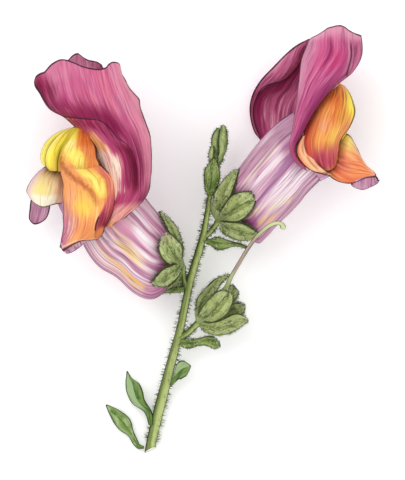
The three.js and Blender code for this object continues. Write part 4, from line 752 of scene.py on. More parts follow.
def shares(grid):
    """How far down and how far across a grid each of its points lies, from 0 to 1."""
    n, m = grid.shape[:2]
    return np.meshgrid(np.linspace(0, 1, n), np.linspace(0, 1, m), indexing="ij")


def circle(sides):
    return np.linspace(0, 2 * np.pi, sides, endpoint=False)


def runs(grid, axis):
    """Distance walked along one direction of a grid of points."""
    steps = np.linalg.norm(np.diff(grid, axis=axis), axis=-1)
    start = np.zeros_like(np.take(steps, [0], axis))
    return np.cumsum(np.concatenate([start, steps], axis), axis)


def walked(line):
    """How far along a line, seen in plan, each of its points lies, from 0 to 1."""
    walk = runs(line[:, :2], 0)
    return walk / walk[-1]


def edge_distance(grid, free):
    """Distance to the nearest free margin: start, end, left or right."""
    down, across = runs(grid, 0), runs(grid, 1)
    sides = {
        "start": down,
        "end": down[-1:] - down,
        "left": across,
        "right": across[:, -1:] - across,
    }
    far = np.full(grid.shape[:2], FAR_OFF)
    for name in free:
        far = np.minimum(far, sides[name])
    return far


def line_distance(points, line):
    """Distance in plan to a line of [x, y] points, in plan units, more than 0 on its left."""
    x, y = np.moveaxis(plan(points)[..., :2], -1, 0)
    line = curve(line, 6 * (len(line) - 1))
    best = np.full(x.shape, 1e9)
    sign = np.ones(x.shape)
    for (ax, ay), (bx, by) in zip(line[:-1], line[1:]):
        dx, dy = bx - ax, by - ay
        t = np.clip(((x - ax) * dx + (y - ay) * dy) / (dx * dx + dy * dy), 0, 1)
        gap = np.hypot(x - ax - t * dx, y - ay - t * dy)
        closer = gap < best
        best = np.where(closer, gap, best)
        sign = np.where(closer, np.sign((x - ax) * dy - (y - ay) * dx), sign)
    return best * sign


# ---- faces ----
def grid_faces(rows, columns):
    """Quads between the neighbours in a grid of points."""
    first = (np.arange(rows - 1)[:, None] * columns + np.arange(columns - 1)).reshape(-1)
    return np.stack([first, first + 1, first + columns + 1, first + columns], -1)


def ring_faces(rings, sides, start=0):
    """Quads between the closed rings of a tube."""
    ring = np.arange(rings - 1)[:, None] * sides + start
    here = (ring + np.arange(sides)).reshape(-1)
    beside = (ring + np.roll(np.arange(sides), -1)).reshape(-1)
    return np.stack([here, beside, beside + sides, here + sides], -1)


def fan(tip, sides, start):
    """Triangles from one point to a closed ring."""
    here = np.arange(sides) + start
    return np.stack([np.full(sides, tip), np.roll(here, -1), here], -1)


def joined(*parts):
    """One flat list of values from grids, lists and single values."""
    return np.concatenate([np.ravel(part) for part in parts])


def stacked(*parts):
    """One list of points from grids and lists of points."""
    return np.concatenate([np.reshape(part, (-1, 3)) for part in parts])


# ---- meshes ----
# What the paints read at each point. s: across a sheet from 0 to 1, or from flank to flank of a
# rod or tube from -1 to 1. t: along it from 0 to 1. edge: distance to the nearest free margin or
# flank. front: 1 on a petal's face and 0 on its back, or 1 above and 0 below. mark: distance to
# a fold, or more than 0 on the cut foot and inside a tube. steep: 1 where a sheet stands
# upright. band, glow: distances to the two lines of colour on the left bloom.
VALUES = ("s", "t", "edge", "front", "mark", "steep", "band", "glow")
MATERIALS = {}


def layer(mesh, name, kind, field, parts):
    """Stores one value for each point of a mesh."""
    made = mesh.attributes.new(name, kind, "POINT")
    made.data.foreach_set(field, np.concatenate(parts).astype(np.float32).ravel())


class Body:
    """Gathers closed shells, their paints and the values that the paints read."""

    def __init__(self, node, name=None):
        self.node = node
        self.name = (name or node) + "_dressed"
        self.points = []
        self.grain = []
        self.values = {key: [] for key in VALUES}
        self.faces = []
        self.paints = []
        self.count = 0

    def add(self, points, faces, paint, grain=None, **values):
        n = len(points)
        self.points.append(points)
        self.grain.append(np.zeros((n, 3)) if grain is None else grain)
        for key in VALUES:
            self.values[key].append(np.broadcast_to(values.get(key, 0.0), (n,)))
        for block in faces:
            self.faces += (np.asarray(block) + self.count).tolist()
            self.paints += [paint] * len(block)
        self.count += n

    def finish(self):
        """Turns the shells into one Blender object that stands for its CAD node."""
        mesh = bpy.data.meshes.new(self.name)
        points = np.concatenate(self.points)
        points[:, 2] = np.maximum(points[:, 2], LOWEST)
        mesh.from_pydata((points / 1000).tolist(), [], self.faces)
        mesh.update()
        names = sorted(set(self.paints))
        for name in names:
            mesh.materials.append(MATERIALS[name])
        mesh.polygons.foreach_set("material_index", [names.index(p) for p in self.paints])
        mesh.polygons.foreach_set("use_smooth", [True] * len(self.faces))
        for key in VALUES:
            layer(mesh, key, "FLOAT", "value", self.values[key])
        layer(mesh, "grain", "FLOAT_VECTOR", "vector", self.grain)
        piece = bpy.data.objects.new(self.name, mesh)
        bpy.context.scene.collection.objects.link(piece)
        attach(piece, "root")
        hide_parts(self.node)


# ---- petals ----
def rim_of(n, m):
    """Grid places round the rim of a sheet, in order."""
    top = [(0, j) for j in range(m - 1)]
    right = [(i, m - 1) for i in range(n - 1)]
    bottom = [(n - 1, j) for j in range(m - 1, 0, -1)]
    left = [(i, 0) for i in range(n - 1, 0, -1)]
    return top + right + bottom + left


def outward(grid, i, j):
    """Direction off the sheet's own edge, in its surface."""
    n, m = grid.shape[:2]
    away = np.zeros(3)
    if i == 0:
        away += unit(grid[0, j] - grid[1, j])
    if i == n - 1:
        away += unit(grid[-1, j] - grid[-2, j])
    if j == 0:
        away += unit(grid[i, 0] - grid[i, 1])
    if j == m - 1:
        away += unit(grid[i, -1] - grid[i, -2])
    return unit(away)


def slab_faces(n, m, rim):
    """Faces of a slab's front, back and rounded rim."""
    size, count = n * m, len(rim)
    front = grid_faces(n, m)
    back = front[:, [0, 3, 2, 1]] + size
    here, lip = rim, 2 * size + np.arange(count)
    after, lip_after = np.roll(here, -1), np.roll(lip, -1)
    near = np.stack([after, here, lip, lip_after], -1)
    far = np.stack([lip_after, lip, size + here, size + after], -1)
    return [front, back, near, far]


def sheet_grain(grid, spin):
    """Millimetres across and along a sheet; spin keeps one sheet's streaks from another's."""
    wide = runs(grid, 1)
    wide = wide - wide[:, wide.shape[1] // 2, None]
    mean = wide.mean(axis=0, keepdims=True)
    across = 0.35 * wide + 0.65 * mean
    return np.stack([across, np.full(wide.shape, float(spin)), runs(grid, 0)], -1)


def slab(body, grid, paint, free=(), flip=False, thick=PETAL, thin=PETAL_RIM, soft=1.4, spin=0,
         **values):
    """A closed petal round a middle surface, thinner at its free margins."""
    n, m = grid.shape[:2]
    normals = normals_of(grid) * (-1 if flip else 1)
    edge = edge_distance(grid, free)
    half = (thin + (thick - thin) * smooth(edge, 0, soft)) / 2
    offset = normals * half[..., None]
    ring = rim_of(n, m)
    rim = np.array([i * m + j for i, j in ring])
    lip = [grid[i, j] + outward(grid, i, j) * half[i, j] * LIP for i, j in ring]
    faces = slab_faces(n, m, rim)
    if not flip:
        faces = [block[:, ::-1] for block in faces]
    t, s = shares(grid)
    values.update(s=s, t=t, edge=edge, steep=1 - np.abs(normals[..., 2]))
    grain = sheet_grain(grid, spin)
    body.add(
        stacked(grid + offset, grid - offset, lip), faces, paint,
        stacked(grain, grain, grain.reshape(-1, 3)[rim]),
        front=joined(np.ones(n * m), np.zeros(n * m), np.full(len(rim), 0.5)),
        **{key: joined(value, value, value.reshape(-1)[rim]) for key, value in values.items()},
    )
    return grid, normals


def trimmed(grid, side, line, reach):
    """Draws one margin onto a line of plan points; the pull fades over the reach."""
    turned = side in ("left", "right")
    rows = np.swapaxes(grid, 0, 1).copy() if turned else grid.copy()
    last = -1 if side in ("end", "right") else 0
    old = rows[last]
    new = curve(flat([[x, y, 0] for x, y in line]), 16 * (len(line) - 1))
    place, target = walked(old), walked(new)
    pull = np.stack([np.interp(place, target, new[:, k]) - old[:, k] for k in (0, 1)], -1)
    gap = runs(rows, 0)
    gap = gap[-1:] - gap if last else gap
    rows[..., :2] += pull[None] * (1 - smooth(gap, 0, reach))[..., None]
    return np.swapaxes(rows, 0, 1) if turned else rows


def waved(grid, free, height, count, reach, phase=0.0):
    """Ripples a sheet's free margins."""
    t, s = shares(grid)
    turn = 2 * np.pi * count * (s + t)
    wave = np.sin(turn + phase) + 0.45 * np.sin(1.9 * turn + 1.3 + phase)
    fade = np.exp(-edge_distance(grid, free) / reach)
    return grid + normals_of(grid) * (height * wave * fade)[..., None]


def veined(grid, count, depth, free=()):
    """Raises fine lengthwise ridges that fade out at the free margins."""
    t, s = shares(grid)
    turn = np.pi * count * s + 0.35 * np.sin(5.0 * t + 9.0 * s)
    ridge = 1 - np.abs(np.sin(turn)) ** 0.7
    fade = smooth(edge_distance(grid, free), 0.1, 1.2)
    strength = 0.6 + 0.4 * np.sin(3.1 * s * count + 2.0)
    return grid + normals_of(grid) * (depth * ridge * fade * strength)[..., None]


# ---- leaves ----
def blade_rows(pairs, rise):
    """Rows across a leaf from its pairs of edge points, domed, but less where it is narrow."""
    rows = []
    for left, right in np.array(pairs, float):
        top = min(rise, DOME * STEP * np.hypot(*(right - left)[:2]))
        share = np.linspace(0, 1, 5)[:, None]
        row = left + (right - left) * share
        row[:, 2:] += top * (1 - (2 * share - 1) ** 2)
        rows.append(row)
    return np.array(rows)


def leaf(body, pairs, rise, paint, along=44, across=22, veins=7, depth=0.07, keel=0.16, curl=0.0,
         spin=0):
    """A domed leaf with a sunken midrib and slanting side veins."""
    grid = net(blade_rows(pairs, rise), along, across)
    t, s = shares(grid)
    normals = normals_of(grid)
    up = np.sign(normals[..., 2].mean())
    middle = np.abs(2 * s - 1)
    rib = -keel * np.exp(-(middle / 0.16) ** 2) * smooth(t, 0.0, 0.1) * (1 - smooth(t, 0.8, 1))
    wander = 0.35 * np.sin(5.3 * t + 1.7) + 0.25 * np.sin(2.3 * s + 3.1 * t)
    slant = np.cos(2 * np.pi * (veins * t ** 1.15 - 1.3 * middle + wander))
    side = -depth * np.clip(slant, 0, 1) ** 2 * smooth(middle, 0.05, 0.3)
    side = side * (1 - smooth(middle, 0.75, 1)) * (1 - smooth(t, 0.85, 1))
    grid = grid + normals * (up * (rib + side))[..., None]
    grid = grid + normals * (up * curl * smooth(middle, 0.7, 1.0))[..., None]
    return slab(body, grid, paint, ("left", "right", "end"), up < 0, LEAF, LEAF_RIM, 0.6, spin)


# ---- rods and cups ----
def frames_along(centres):
    """Ahead, side and up directions of a tube's rings."""
    ahead = unit(np.gradient(centres, axis=0))
    side = unit(np.cross(np.array([0.0, 0.0, 1.0]), ahead))
    return ahead, side, unit(np.cross(ahead, side))


def brow(radius, turn):
    """How far a round body's upper half still runs out sideways from each of its points."""
    return np.where(np.sin(turn) > -0.02, radius * (1 - np.abs(np.cos(turn))), NO_EDGE)


def round_grain(turn, walk, radius):
    return np.stack([np.cos(turn) * radius, np.sin(turn) * radius, walk], -1)


def ribs(count, depth):
    """Low ribs along a rod, as a factor on its radius."""
    def factor(turn, t):
        wave = np.abs(np.cos(count * turn / 2 + 0.6 * np.sin(4 * t)))
        return 1 + depth * (wave - 0.5)
    return factor


def rod(body, points, along, sides, paint, relief=None, slant=0.0):
    """A round rod through [x, y, z, radius] points, closed at both ends, its foot cut aslant."""
    stations = curve(points, along)
    centres, radius = flat(stations[:, :3]), stations[:, 3]
    ahead, side, up = frames_along(centres)
    turn, walk = np.meshgrid(circle(sides), runs(centres, 0))
    t = walk / walk[-1]
    reach = radius[:, None] * (relief(turn, t) if relief else 1)
    out = side[:, None] * np.cos(turn)[..., None] + up[:, None] * np.sin(turn)[..., None]
    rings = centres[:, None] + out * reach[..., None]
    tips = [centres[0] - ahead[0] * radius[0] * 0.25, centres[-1] + ahead[-1] * radius[-1] * 0.5]
    marks = np.zeros(turn.shape)
    if slant:
        lift = slant * (0.15 - np.cos(turn) + 0.4 * np.sin(turn)) * (1 - smooth(walk, 0, 8 * slant))
        rings = rings + ahead[:, None] * lift[..., None]
        tips[0] = rings[0].mean(axis=0)
        marks[0] = 0.35
    first = turn.size
    body.add(
        stacked(rings, tips),
        [ring_faces(along + 1, sides), fan(first, sides, 0),
         fan(first + 1, sides, first - sides)[:, [0, 2, 1]]],
        paint, stacked(round_grain(turn, walk, radius.mean()), [0, 0, 0], [0, 0, walk[-1, 0]]),
        s=joined(np.cos(turn), 0, 0), t=joined(t, 0, 1),
        edge=joined(brow(radius[:, None], turn), NO_EDGE, NO_EDGE),
        front=joined(np.sin(turn) * 0.5 + 0.5, 0.5, 0.5),
        mark=joined(marks, 1.0 if slant else 0.0, 0.0),
    )
    return centres, out, radius


def oval_rings(stations, sides, inset):
    """Rings through [x, y, x, y, z, depth] stations: two ends of a width, a height, a depth."""
    turn = circle(sides)
    rings = []
    for xa, ya, xb, yb, z, depth in stations:
        a, b = flat([xa, ya, z]), flat([xb, yb, z])
        wide = np.linalg.norm(a - b) / 2 - inset
        ring = (a + b) / 2 + unit(a - b) * (wide * np.cos(turn))[:, None]
        ring[:, 2] += (depth - inset) * np.sin(turn)
        rings.append(ring)
    return np.array(rings)


def cup(body, pole, stations, along, sides, paint, relief=0.0, folds=9, lined=True):
    """A double-walled tube with lengthwise folds, closed at its pole and open at its mouth."""
    places = curve(stations, along)
    turn, t = np.meshgrid(circle(sides), np.linspace(0, 1, along + 1))
    crease = np.abs(np.cos(folds * turn + 1.2 * np.sin(3 * t))) ** 0.6
    outside = oval_rings(places, sides, 0)
    middle = outside.mean(axis=1)
    sunk = unit(outside - middle[:, None]) * (relief * (1 - crease * smooth(t, 0, 0.25)))[..., None]
    outside = outside - sunk
    inside = oval_rings(places, sides, WALL) - sunk
    bottom = flat(pole)
    size = turn.size
    mouth = np.arange(sides) + size - sides
    after = np.roll(mouth, -1)
    walk = runs(middle, 0)[:, None] + 0 * turn
    wide = np.linalg.norm(outside[:, 0] - outside[:, sides // 2], axis=1)[:, None] / 2
    edge = np.minimum((1 - t) * walk[-1, 0] if lined else NO_EDGE, brow(wide, turn))
    grain = round_grain(turn, walk, 5.0)
    body.add(
        stacked(outside, inside, bottom, bottom + unit(middle[0] - bottom) * WALL),
        [ring_faces(along + 1, sides), ring_faces(along + 1, sides, size)[:, [1, 0, 3, 2]],
         fan(2 * size, sides, 0), fan(2 * size + 1, sides, size)[:, [0, 2, 1]],
         np.stack([mouth, after, size + after, size + mouth], -1)],
        paint, stacked(grain, grain, np.zeros((2, 3))),
        s=joined(np.cos(turn), np.cos(turn), 0, 0), t=joined(t, t, 0, 0),
        edge=joined(edge, edge, NO_EDGE, NO_EDGE),
        front=joined(np.sin(turn), np.sin(turn), 0, 0) * 0.5 + 0.5,
        mark=joined(np.zeros(size), np.ones(size), 0, 1),
    )


def collar(body, stations):
    """The ring that the stamens grow from."""
    along, sides = 10, 40
    places = curve(stations, along)
    loops = np.concatenate([oval_rings(places, sides, 0), oval_rings(places, sides, WALL)[::-1]])
    points = stacked(loops)
    faces = ring_faces(len(loops) + 1, sides) % len(points)
    body.add(points, [faces], "stamen", points, edge=NO_EDGE)


# ---- hairs ----
HAIR_FACES = [ring_faces(2, 3), fan(6, 3, 3)[:, [2, 1, 0]], [(2, 1, 0)]]


def hair(body, foot, way, length, paint):
    """One tapered hair: a slim three-sided spike rooted in its carrier."""
    way = unit(way)
    a = unit(np.cross(way, [0.31, 0.52, 0.79]))
    b = np.cross(way, a)
    bend = unit(way + rng.normal(0, 0.16, 3))
    turn = circle(3)[:, None]
    spread = a * np.cos(turn) + b * np.sin(turn)
    base = foot - way * HAIR_ROOT + spread * HAIR
    waist = foot + way * length * 0.55 + spread * HAIR * HAIR_WAIST
    tip = foot + (way * 0.55 + bend * 0.45) * length
    along = [0, 0, 0, 0.5, 0.5, 0.5, 1]
    body.add(stacked(base, waist, tip), HAIR_FACES, paint, t=along, edge=NO_EDGE)


def rod_hairs(body, rod_made, count, length, lo, hi):
    """Hairs all round a rod; more of them at its two sides than above and below."""
    centres, out, radius = rod_made
    n, sides = out.shape[:2]
    steps = walked(centres)
    for _ in range(count):
        place = np.interp(lo + (hi - lo) * rng.random(), steps, np.arange(n))
        i = min(int(place), n - 2)
        f = place - i
        angle = rng.random() * 2 * np.pi
        if rng.random() < FLANK_HAIRS:
            angle = rng.choice([0.0, np.pi]) + rng.normal(0, 0.45)
        k = int(round(angle / (2 * np.pi) * sides)) % sides
        way = unit(out[i, k] * (1 - f) + out[i + 1, k] * f)
        centre = centres[i] * (1 - f) + centres[i + 1] * f
        r = radius[i] * (1 - f) + radius[i + 1] * f
        lean = unit(centres[i + 1] - centres[i]) * rng.normal(0.0, 0.28)
        foot = centre + way * r * 0.94
        hair(body, foot, way + lean, length * (0.6 + 0.6 * rng.random()), "hair")


def margin_hairs(body, grid, count, length):
    """A fringe along both sides and the tip of a leaf."""
    n, m = grid.shape[:2]
    normals = normals_of(grid)
    for _ in range(count):
        i = int((0.06 + 0.94 * rng.random()) * (n - 1))
        j = rng.choice([0, m - 1])
        way = outward(grid, min(max(i, 1), n - 2), j)
        tipward = unit(grid[min(i + 2, n - 1), j] - grid[max(i - 2, 0), j])
        way = way + tipward * (0.35 + rng.normal(0, 0.2)) + normals[i, j] * rng.normal(0, 0.35)
        hair(body, grid[i, j], way, length * (0.55 + 0.6 * rng.random()), "hair")


def face_hairs(body, grid, normals, count, length):
    """Short hairs that lean over a leaf's own face, towards its tip."""
    n, m = grid.shape[:2]
    for _ in range(count):
        i = int(rng.random() * (n - 3)) + 1
        j = int((0.08 + 0.84 * rng.random()) * (m - 1))
        tipward = unit(grid[i + 1, j] - grid[i - 1, j])
        outer = unit(grid[i, m - 1] - grid[i, 0]) * (1 if j > m / 2 else -1)
        way = normals[i, j] * 0.55 + tipward * 0.8 + outer * 0.55 + rng.normal(0, 0.15, 3)
        foot = grid[i, j] + normals[i, j] * LEAF / 2
        hair(body, foot, way, length * (0.6 + 0.6 * rng.random()), "down")


# ---- paints ----
INK = "#32121f"
GREEN_INK = "#242e14"
WHITE = "#f6eef0"  # the white of the tubes' bands; on the left tube one of them is a painted highlight
# Roughness, sheen and specular level of each kind of skin.
PAGE = (0.6, 0.04, 0.14)
LOBE = (0.6, 0.03, 0.14)
HUMP = (0.55, 0.03, 0.14)
GREEN = (0.65, 0.04, 0.12)
PLAIN = (0.65, 0.03, 0.14)
DOWN = (0.7, 0.0, 0.15)


def colour_of(code):
    """A hex colour as linear numbers."""
    parts = [int(code[k:k + 2], 16) / 255 for k in (1, 3, 5)]
    linear = [v / 12.92 if v <= 0.04045 else ((v + 0.055) / 1.055) ** 2.4 for v in parts]
    return (*linear, 1.0)


class Paint:
    """One node-based material, built as layers over a first colour."""

    def __init__(self, name, colour, skin=LOBE):
        self.material = bpy.data.materials.new(name)
        self.material.use_nodes = True
        self.tree = self.material.node_tree
        self.tree.nodes.clear()
        out = self.node("ShaderNodeOutputMaterial")
        self.shader = self.node("ShaderNodeBsdfPrincipled")
        for socket, value in zip(("Roughness", "Sheen Weight", "Specular IOR Level"), skin):
            self.shader.inputs[socket].default_value = value
        self.tree.links.new(self.shader.outputs[0], out.inputs[0])
        first = self.node("ShaderNodeRGB")
        first.outputs[0].default_value = colour_of(colour)
        self.colour = first.outputs[0]
        self.seed = sum(ord(c) for c in name) % 97

    def node(self, kind, **settings):
        made = self.tree.nodes.new(kind)
        for key, value in settings.items():
            setattr(made, key, value)
        return made

    def feed(self, socket, value):
        """Links a socket to another, or sets it to a number or a vector."""
        if hasattr(value, "is_linked"):
            self.tree.links.new(value, socket)
        else:
            socket.default_value = value

    def get(self, name):
        return self.node("ShaderNodeAttribute", attribute_name=name).outputs["Fac"]

    def place(self):
        return self.node("ShaderNodeTexCoord").outputs["Object"]

    def math(self, kind, a, b):
        made = self.node("ShaderNodeMath", operation=kind)
        self.feed(made.inputs[0], a)
        self.feed(made.inputs[1], b)
        return made.outputs[0]

    def times(self, *values):
        out = values[0]
        for value in values[1:]:
            out = self.math("MULTIPLY", out, value)
        return out

    def step(self, value, lo, hi):
        """0 at lo, 1 at hi, smooth between; lo may be above hi."""
        made = self.node("ShaderNodeMapRange", interpolation_type="SMOOTHSTEP")
        self.feed(made.inputs["Value"], value)
        made.inputs["From Min"].default_value = min(lo, hi)
        made.inputs["From Max"].default_value = max(lo, hi)
        made.inputs["To Min"].default_value = float(lo > hi)
        made.inputs["To Max"].default_value = float(lo < hi)
        return made.outputs["Result"]

    def window(self, value, a, b, c, d):
        """0 below a, 1 from b to c, 0 above d."""
        return self.times(self.step(value, a, b), self.step(value, d, c))

    def turned(self, lo=0.78, hi=0.92):
        """1 where a surface stands on edge; the paints lay painted shade there."""
        return self.step(self.get("steep"), lo, hi)

    def noise(self, vector, scale, rough=0.55, shift=(0, 0, 0), stretch=(1, 1, 1)):
        """Noise in a vector that is stretched and shifted first."""
        mapping = self.node("ShaderNodeMapping")
        mapping.inputs["Scale"].default_value = stretch
        mapping.inputs["Location"].default_value = shift
        self.feed(mapping.inputs["Vector"], vector)
        made = self.node("ShaderNodeTexNoise")
        made.inputs["Scale"].default_value = scale
        made.inputs["Detail"].default_value = 3.0
        made.inputs["Roughness"].default_value = rough
        self.feed(made.inputs["Vector"], mapping.outputs["Vector"])
        return made.outputs["Fac"]

    def streak(self, fine, long, lo, hi, shift=0.0):
        """Streaks that run lengthwise: fine lines a millimetre across, long millimetres long."""
        grain = self.node("ShaderNodeAttribute", attribute_name="grain").outputs["Vector"]
        away = (self.seed + shift, shift * 1.7, shift * 0.6)
        return self.step(self.noise(grain, 1.0, 0.6, away, (fine, fine, 1.0 / long)), lo, hi)

    def cloud(self, size, lo, hi, shift=0.0):
        """Soft blotches, size in millimetres, each paint's own."""
        away = (self.seed * 0.013 + shift, shift, 0.0)
        return self.step(self.noise(self.place(), 1000.0 / size, shift=away), lo, hi)

    def ragged(self, noise, reach):
        """Noise from 0 to 1 as a shift to both sides."""
        return self.times(self.math("SUBTRACT", noise, 0.5), reach)

    def spot(self, centre, radius, soft, wobble=0.35):
        """1 within a radius of a plan point, fading over the soft reach, in plan units."""
        gap = self.node("ShaderNodeVectorMath", operation="DISTANCE")
        self.feed(gap.inputs[0], self.place())
        gap.inputs[1].default_value = tuple(flat(centre) / 1000)
        uneven = self.ragged(self.streak(1.3, 9.0, 0.2, 0.8, radius), wobble * radius * STEP)
        far = self.math("ADD", self.times(gap.outputs["Value"], 1000.0), uneven)
        return self.step(far, (radius + soft) * STEP, (radius - soft) * STEP)

    def over(self, colour, *masks):
        """Lays a colour over the others where all the masks are 1."""
        made = self.node("ShaderNodeMix", data_type="RGBA", clamp_factor=True)
        self.feed(made.inputs["Factor"], self.times(*masks))
        self.feed(made.inputs[6], self.colour)
        self.feed(made.inputs[7], colour_of(colour))
        self.colour = made.outputs[2]

    def streaky(self, light, dark, fine=1.4, long=12.0, more=0.7):
        """Lengthwise brush strokes of a lighter and a darker colour."""
        self.over(light, self.streak(fine, long, 0.44, 0.66, 1), more)
        self.over(dark, self.streak(fine * 1.5, long, 0.5, 0.66, 5), more)

    def pencil(self, dark, amount):
        """Fine lengthwise pencil strokes over everything below."""
        self.over(dark, self.streak(2.1, 7, 0.54, 0.66, 21.0), amount)

    def underside(self, colour="#b07a98", dark="#7c3c66"):
        """The other colour of a petal's back."""
        back = self.step(self.get("front"), 0.4, 0.05)
        self.over(colour, back, 0.95)
        self.over(dark, back, self.streak(1.8, 12, 0.48, 0.68, 11), 0.6)

    def margin(self, colour=INK, width=0.4, strength=0.93):
        """A dark line along the free margins, broken a little like a pencil's."""
        uneven = self.math("ADD", self.times(self.cloud(2.5, 0.3, 0.7, 3.1), 0.35), 0.75)
        near = self.math("DIVIDE", self.get("edge"), uneven)
        self.over(colour, self.step(near, width, width * 0.55), strength)

    def line(self, value, width, inner, *masks):
        """A dark line where a value passes zero."""
        self.over(INK, self.window(value, -width, -inner, inner, width), *masks)

    def done(self):
        self.tree.links.new(self.colour, self.shader.inputs["Base Color"])
        MATERIALS[self.material.name] = self.material


# Each paint reads the values that are listed above the class Body. Its colours are laid one
# over another, and what comes last lies on top.


def page_face(p, s, t, crease):
    """The page's outer face: rose, with painted shade along the crease, deeper towards its drooping
    tip, and painted light along its outer margin.
    """
    flange = p.step(crease, -1.0, 1.0)
    p.over("#d5849f", p.streak(1.2, 13, 0.44, 0.66, 1), 0.8)
    p.over("#dd7886", p.spot((106, 94, 25), 20, 16), p.streak(1.2, 10, 0.36, 0.6, 5), 0.8)
    p.over("#b34674", p.streak(1.7, 15, 0.48, 0.64, 4), 0.8)
    p.over("#bd90ae", p.spot((131, 98, 24), 13, 12), p.streak(1.5, 9, 0.36, 0.6, 3), 0.85)
    p.over("#c8a0b4", p.spot((119, 74, 24), 9, 9), 0.6)
    p.over("#8c2352", p.streak(2.0, 12, 0.54, 0.66, 8), p.step(t, 0.97, 0.75), 0.75)
    # Painted shade on the face close to the crease, where it falls into the fold.
    p.over("#8e144e", p.step(crease, 20.0, 5.0), flange, p.step(t, 0.5, 0.66), 0.92)
    p.over("#74103e", p.step(crease, 18.0, 3.0), flange, p.streak(1.5, 11, 0.36, 0.58, 6), 0.85)
    p.over("#8e184a", p.spot((40, 89, 23), 13, 10), 0.92)
    p.over("#6c0c36", p.spot((45, 94, 23), 17, 10), p.streak(1.7, 11, 0.38, 0.56, 2), 0.9)
    p.over("#951f56", p.spot((72, 108, 24), 14, 8), p.streak(1.5, 11, 0.36, 0.54, 12), 0.8)
    p.over("#c85c88", p.spot((58, 100, 25), 24, 10), p.streak(1.5, 10, 0.54, 0.66, 33), 0.75)
    p.over("#cf7f9a", p.spot((60, 67, 26.5), 15, 9), p.streak(1.3, 8, 0.3, 0.6, 7), 0.75)
    # Painted light: a paler band along the outer margin, where the face is lit.
    p.over("#d98c9e", p.step(s, 0.3, 0.04), p.step(t, 0.2, 0.4), 0.8)


def page_cheek(p, s, t, crease):
    """Inside the crease: wine red, with painted shadow darkest just beside it, cream and yellow
    towards the mouth.
    """
    cheek = p.step(crease, 0.6, -0.6)
    p.over("#a63460", cheek, 0.97)
    p.over("#c45c80", cheek, p.streak(1.5, 12, 0.46, 0.62, 7), 0.85)
    deep = p.math("ADD", crease, p.ragged(p.streak(1.3, 9, 0.2, 0.8, 12), 9.0))
    pale = p.times(cheek, p.step(deep, -13.5, -19.0))
    low_mouth = p.times(p.step(s, 0.62, 0.84), p.step(t, 0.5, 0.56), p.step(t, 0.7, 0.62))
    beside = p.window(deep, -13.0, -7.0, -2.0, 1.0)
    crease_shadow = p.times(p.window(deep, -9.0, -5.0, -2.0, 0.0), p.window(t, 0.24, 0.34, 0.5, 0.6))
    p.over("#f2dcc4", pale, 0.95)
    p.over("#ecb957", pale, p.step(t, 0.5, 0.56), 0.92)
    p.over("#e8b45c", cheek, low_mouth, p.streak(1.5, 9, 0.3, 0.52, 28), 0.9)
    p.over("#dc9a4c", cheek, p.step(s, 0.82, 0.93), p.step(t, 0.58, 0.66), 0.9)
    corner = p.times(p.step(s, 0.8, 0.95), p.step(t, 0.6, 0.7))
    p.over("#b8502f", cheek, corner, p.streak(1.6, 9, 0.44, 0.6, 8), 0.8)
    p.over("#c05a76", pale, p.streak(1.9, 9, 0.51, 0.61, 15), 0.75)
    # Painted shadow deep in the fold beside the crease, darkest in a narrower band within it.
    p.over("#7c1438", cheek, beside, p.step(t, 0.2, 0.3), 0.85)
    p.over("#5c0c2a", cheek, crease_shadow, 0.75)
    rosy = p.times(p.step(t, 0.5, 0.6), p.streak(1.5, 9, 0.46, 0.6, 27))
    p.over("#b04874", cheek, rosy, p.step(pale, 0.5, 0.1), 0.6)


def page_hinge(p, t):
    """The page's foot, where it leaves the tube."""
    low = p.step(t, 0.21, 0.13)
    p.over("#e2a08a", low, 0.9)
    p.over("#c2607c", low, p.streak(1.6, 7, 0.44, 0.6, 5), 0.8)
    p.over("#f4dcc8", low, p.streak(1.4, 7, 0.52, 0.66, 9), 0.8)
    p.over("#e8934e", p.step(t, 0.07, 0.03), 0.7)


def paint_left_near_page():
    """Rose outside the crease, wine red and cream inside it."""
    p = Paint("left_near_page", "#c05a82", PAGE)
    s, t, crease = map(p.get, ("s", "t", "mark"))
    page_face(p, s, t, crease)
    page_cheek(p, s, t, crease)
    page_hinge(p, t)
    p.line(crease, 1.1, 0.5, p.step(t, 0.5, 0.6), 0.88)
    p.pencil("#8c3a5e", 0.35)
    p.over("#9a5886", p.step(p.get("front"), 0.45, 0.1), 0.9)
    p.margin()
    # Painted shade where the outer margin turns on edge.
    p.over(INK, p.turned(0.86, 0.96), p.step(s, 0.25, 0.15), 0.8)
    p.over(INK, p.step(s, 0.972, 0.985), p.step(t, 0.58, 0.62), 0.9)
    p.done()


def paint_left_far_page():
    """Pink, with a mauve back."""
    p = Paint("left_far_page", "#c47492", PAGE)
    p.streaky("#d898ae", "#9c4870", 1.4, 10, 0.8)
    p.pencil("#6c2448", 0.5)
    p.underside("#a85c8c", "#7a3468")
    p.margin()
    p.done()


def palate_hot(p, s, t):
    """Orange and red on the palate's near flank."""
    hot = p.step(s, 0.62, 0.8)
    side = p.times(p.step(s, 0.66, 0.84), p.step(t, 0.7, 0.5))
    p.over("#e58a34", p.step(s, 0.56, 0.72), p.step(t, 0.6, 0.42), 0.9)
    p.over("#d9602c", hot, p.window(t, 0.06, 0.16, 0.5, 0.74), 0.9)
    p.over("#f0a04a", hot, p.streak(1.9, 8, 0.48, 0.62, 2), 0.7)
    p.over("#b84a24", side, p.streak(2.0, 8, 0.54, 0.66, 9), 0.8)


def shared_side(p, side):
    """Orange that runs on from the palate's flank into the near lobe's."""
    p.over("#dd7440", side, 0.8)
    p.over("#f0a458", side, p.streak(1.8, 8, 0.48, 0.62, 14), 0.7)


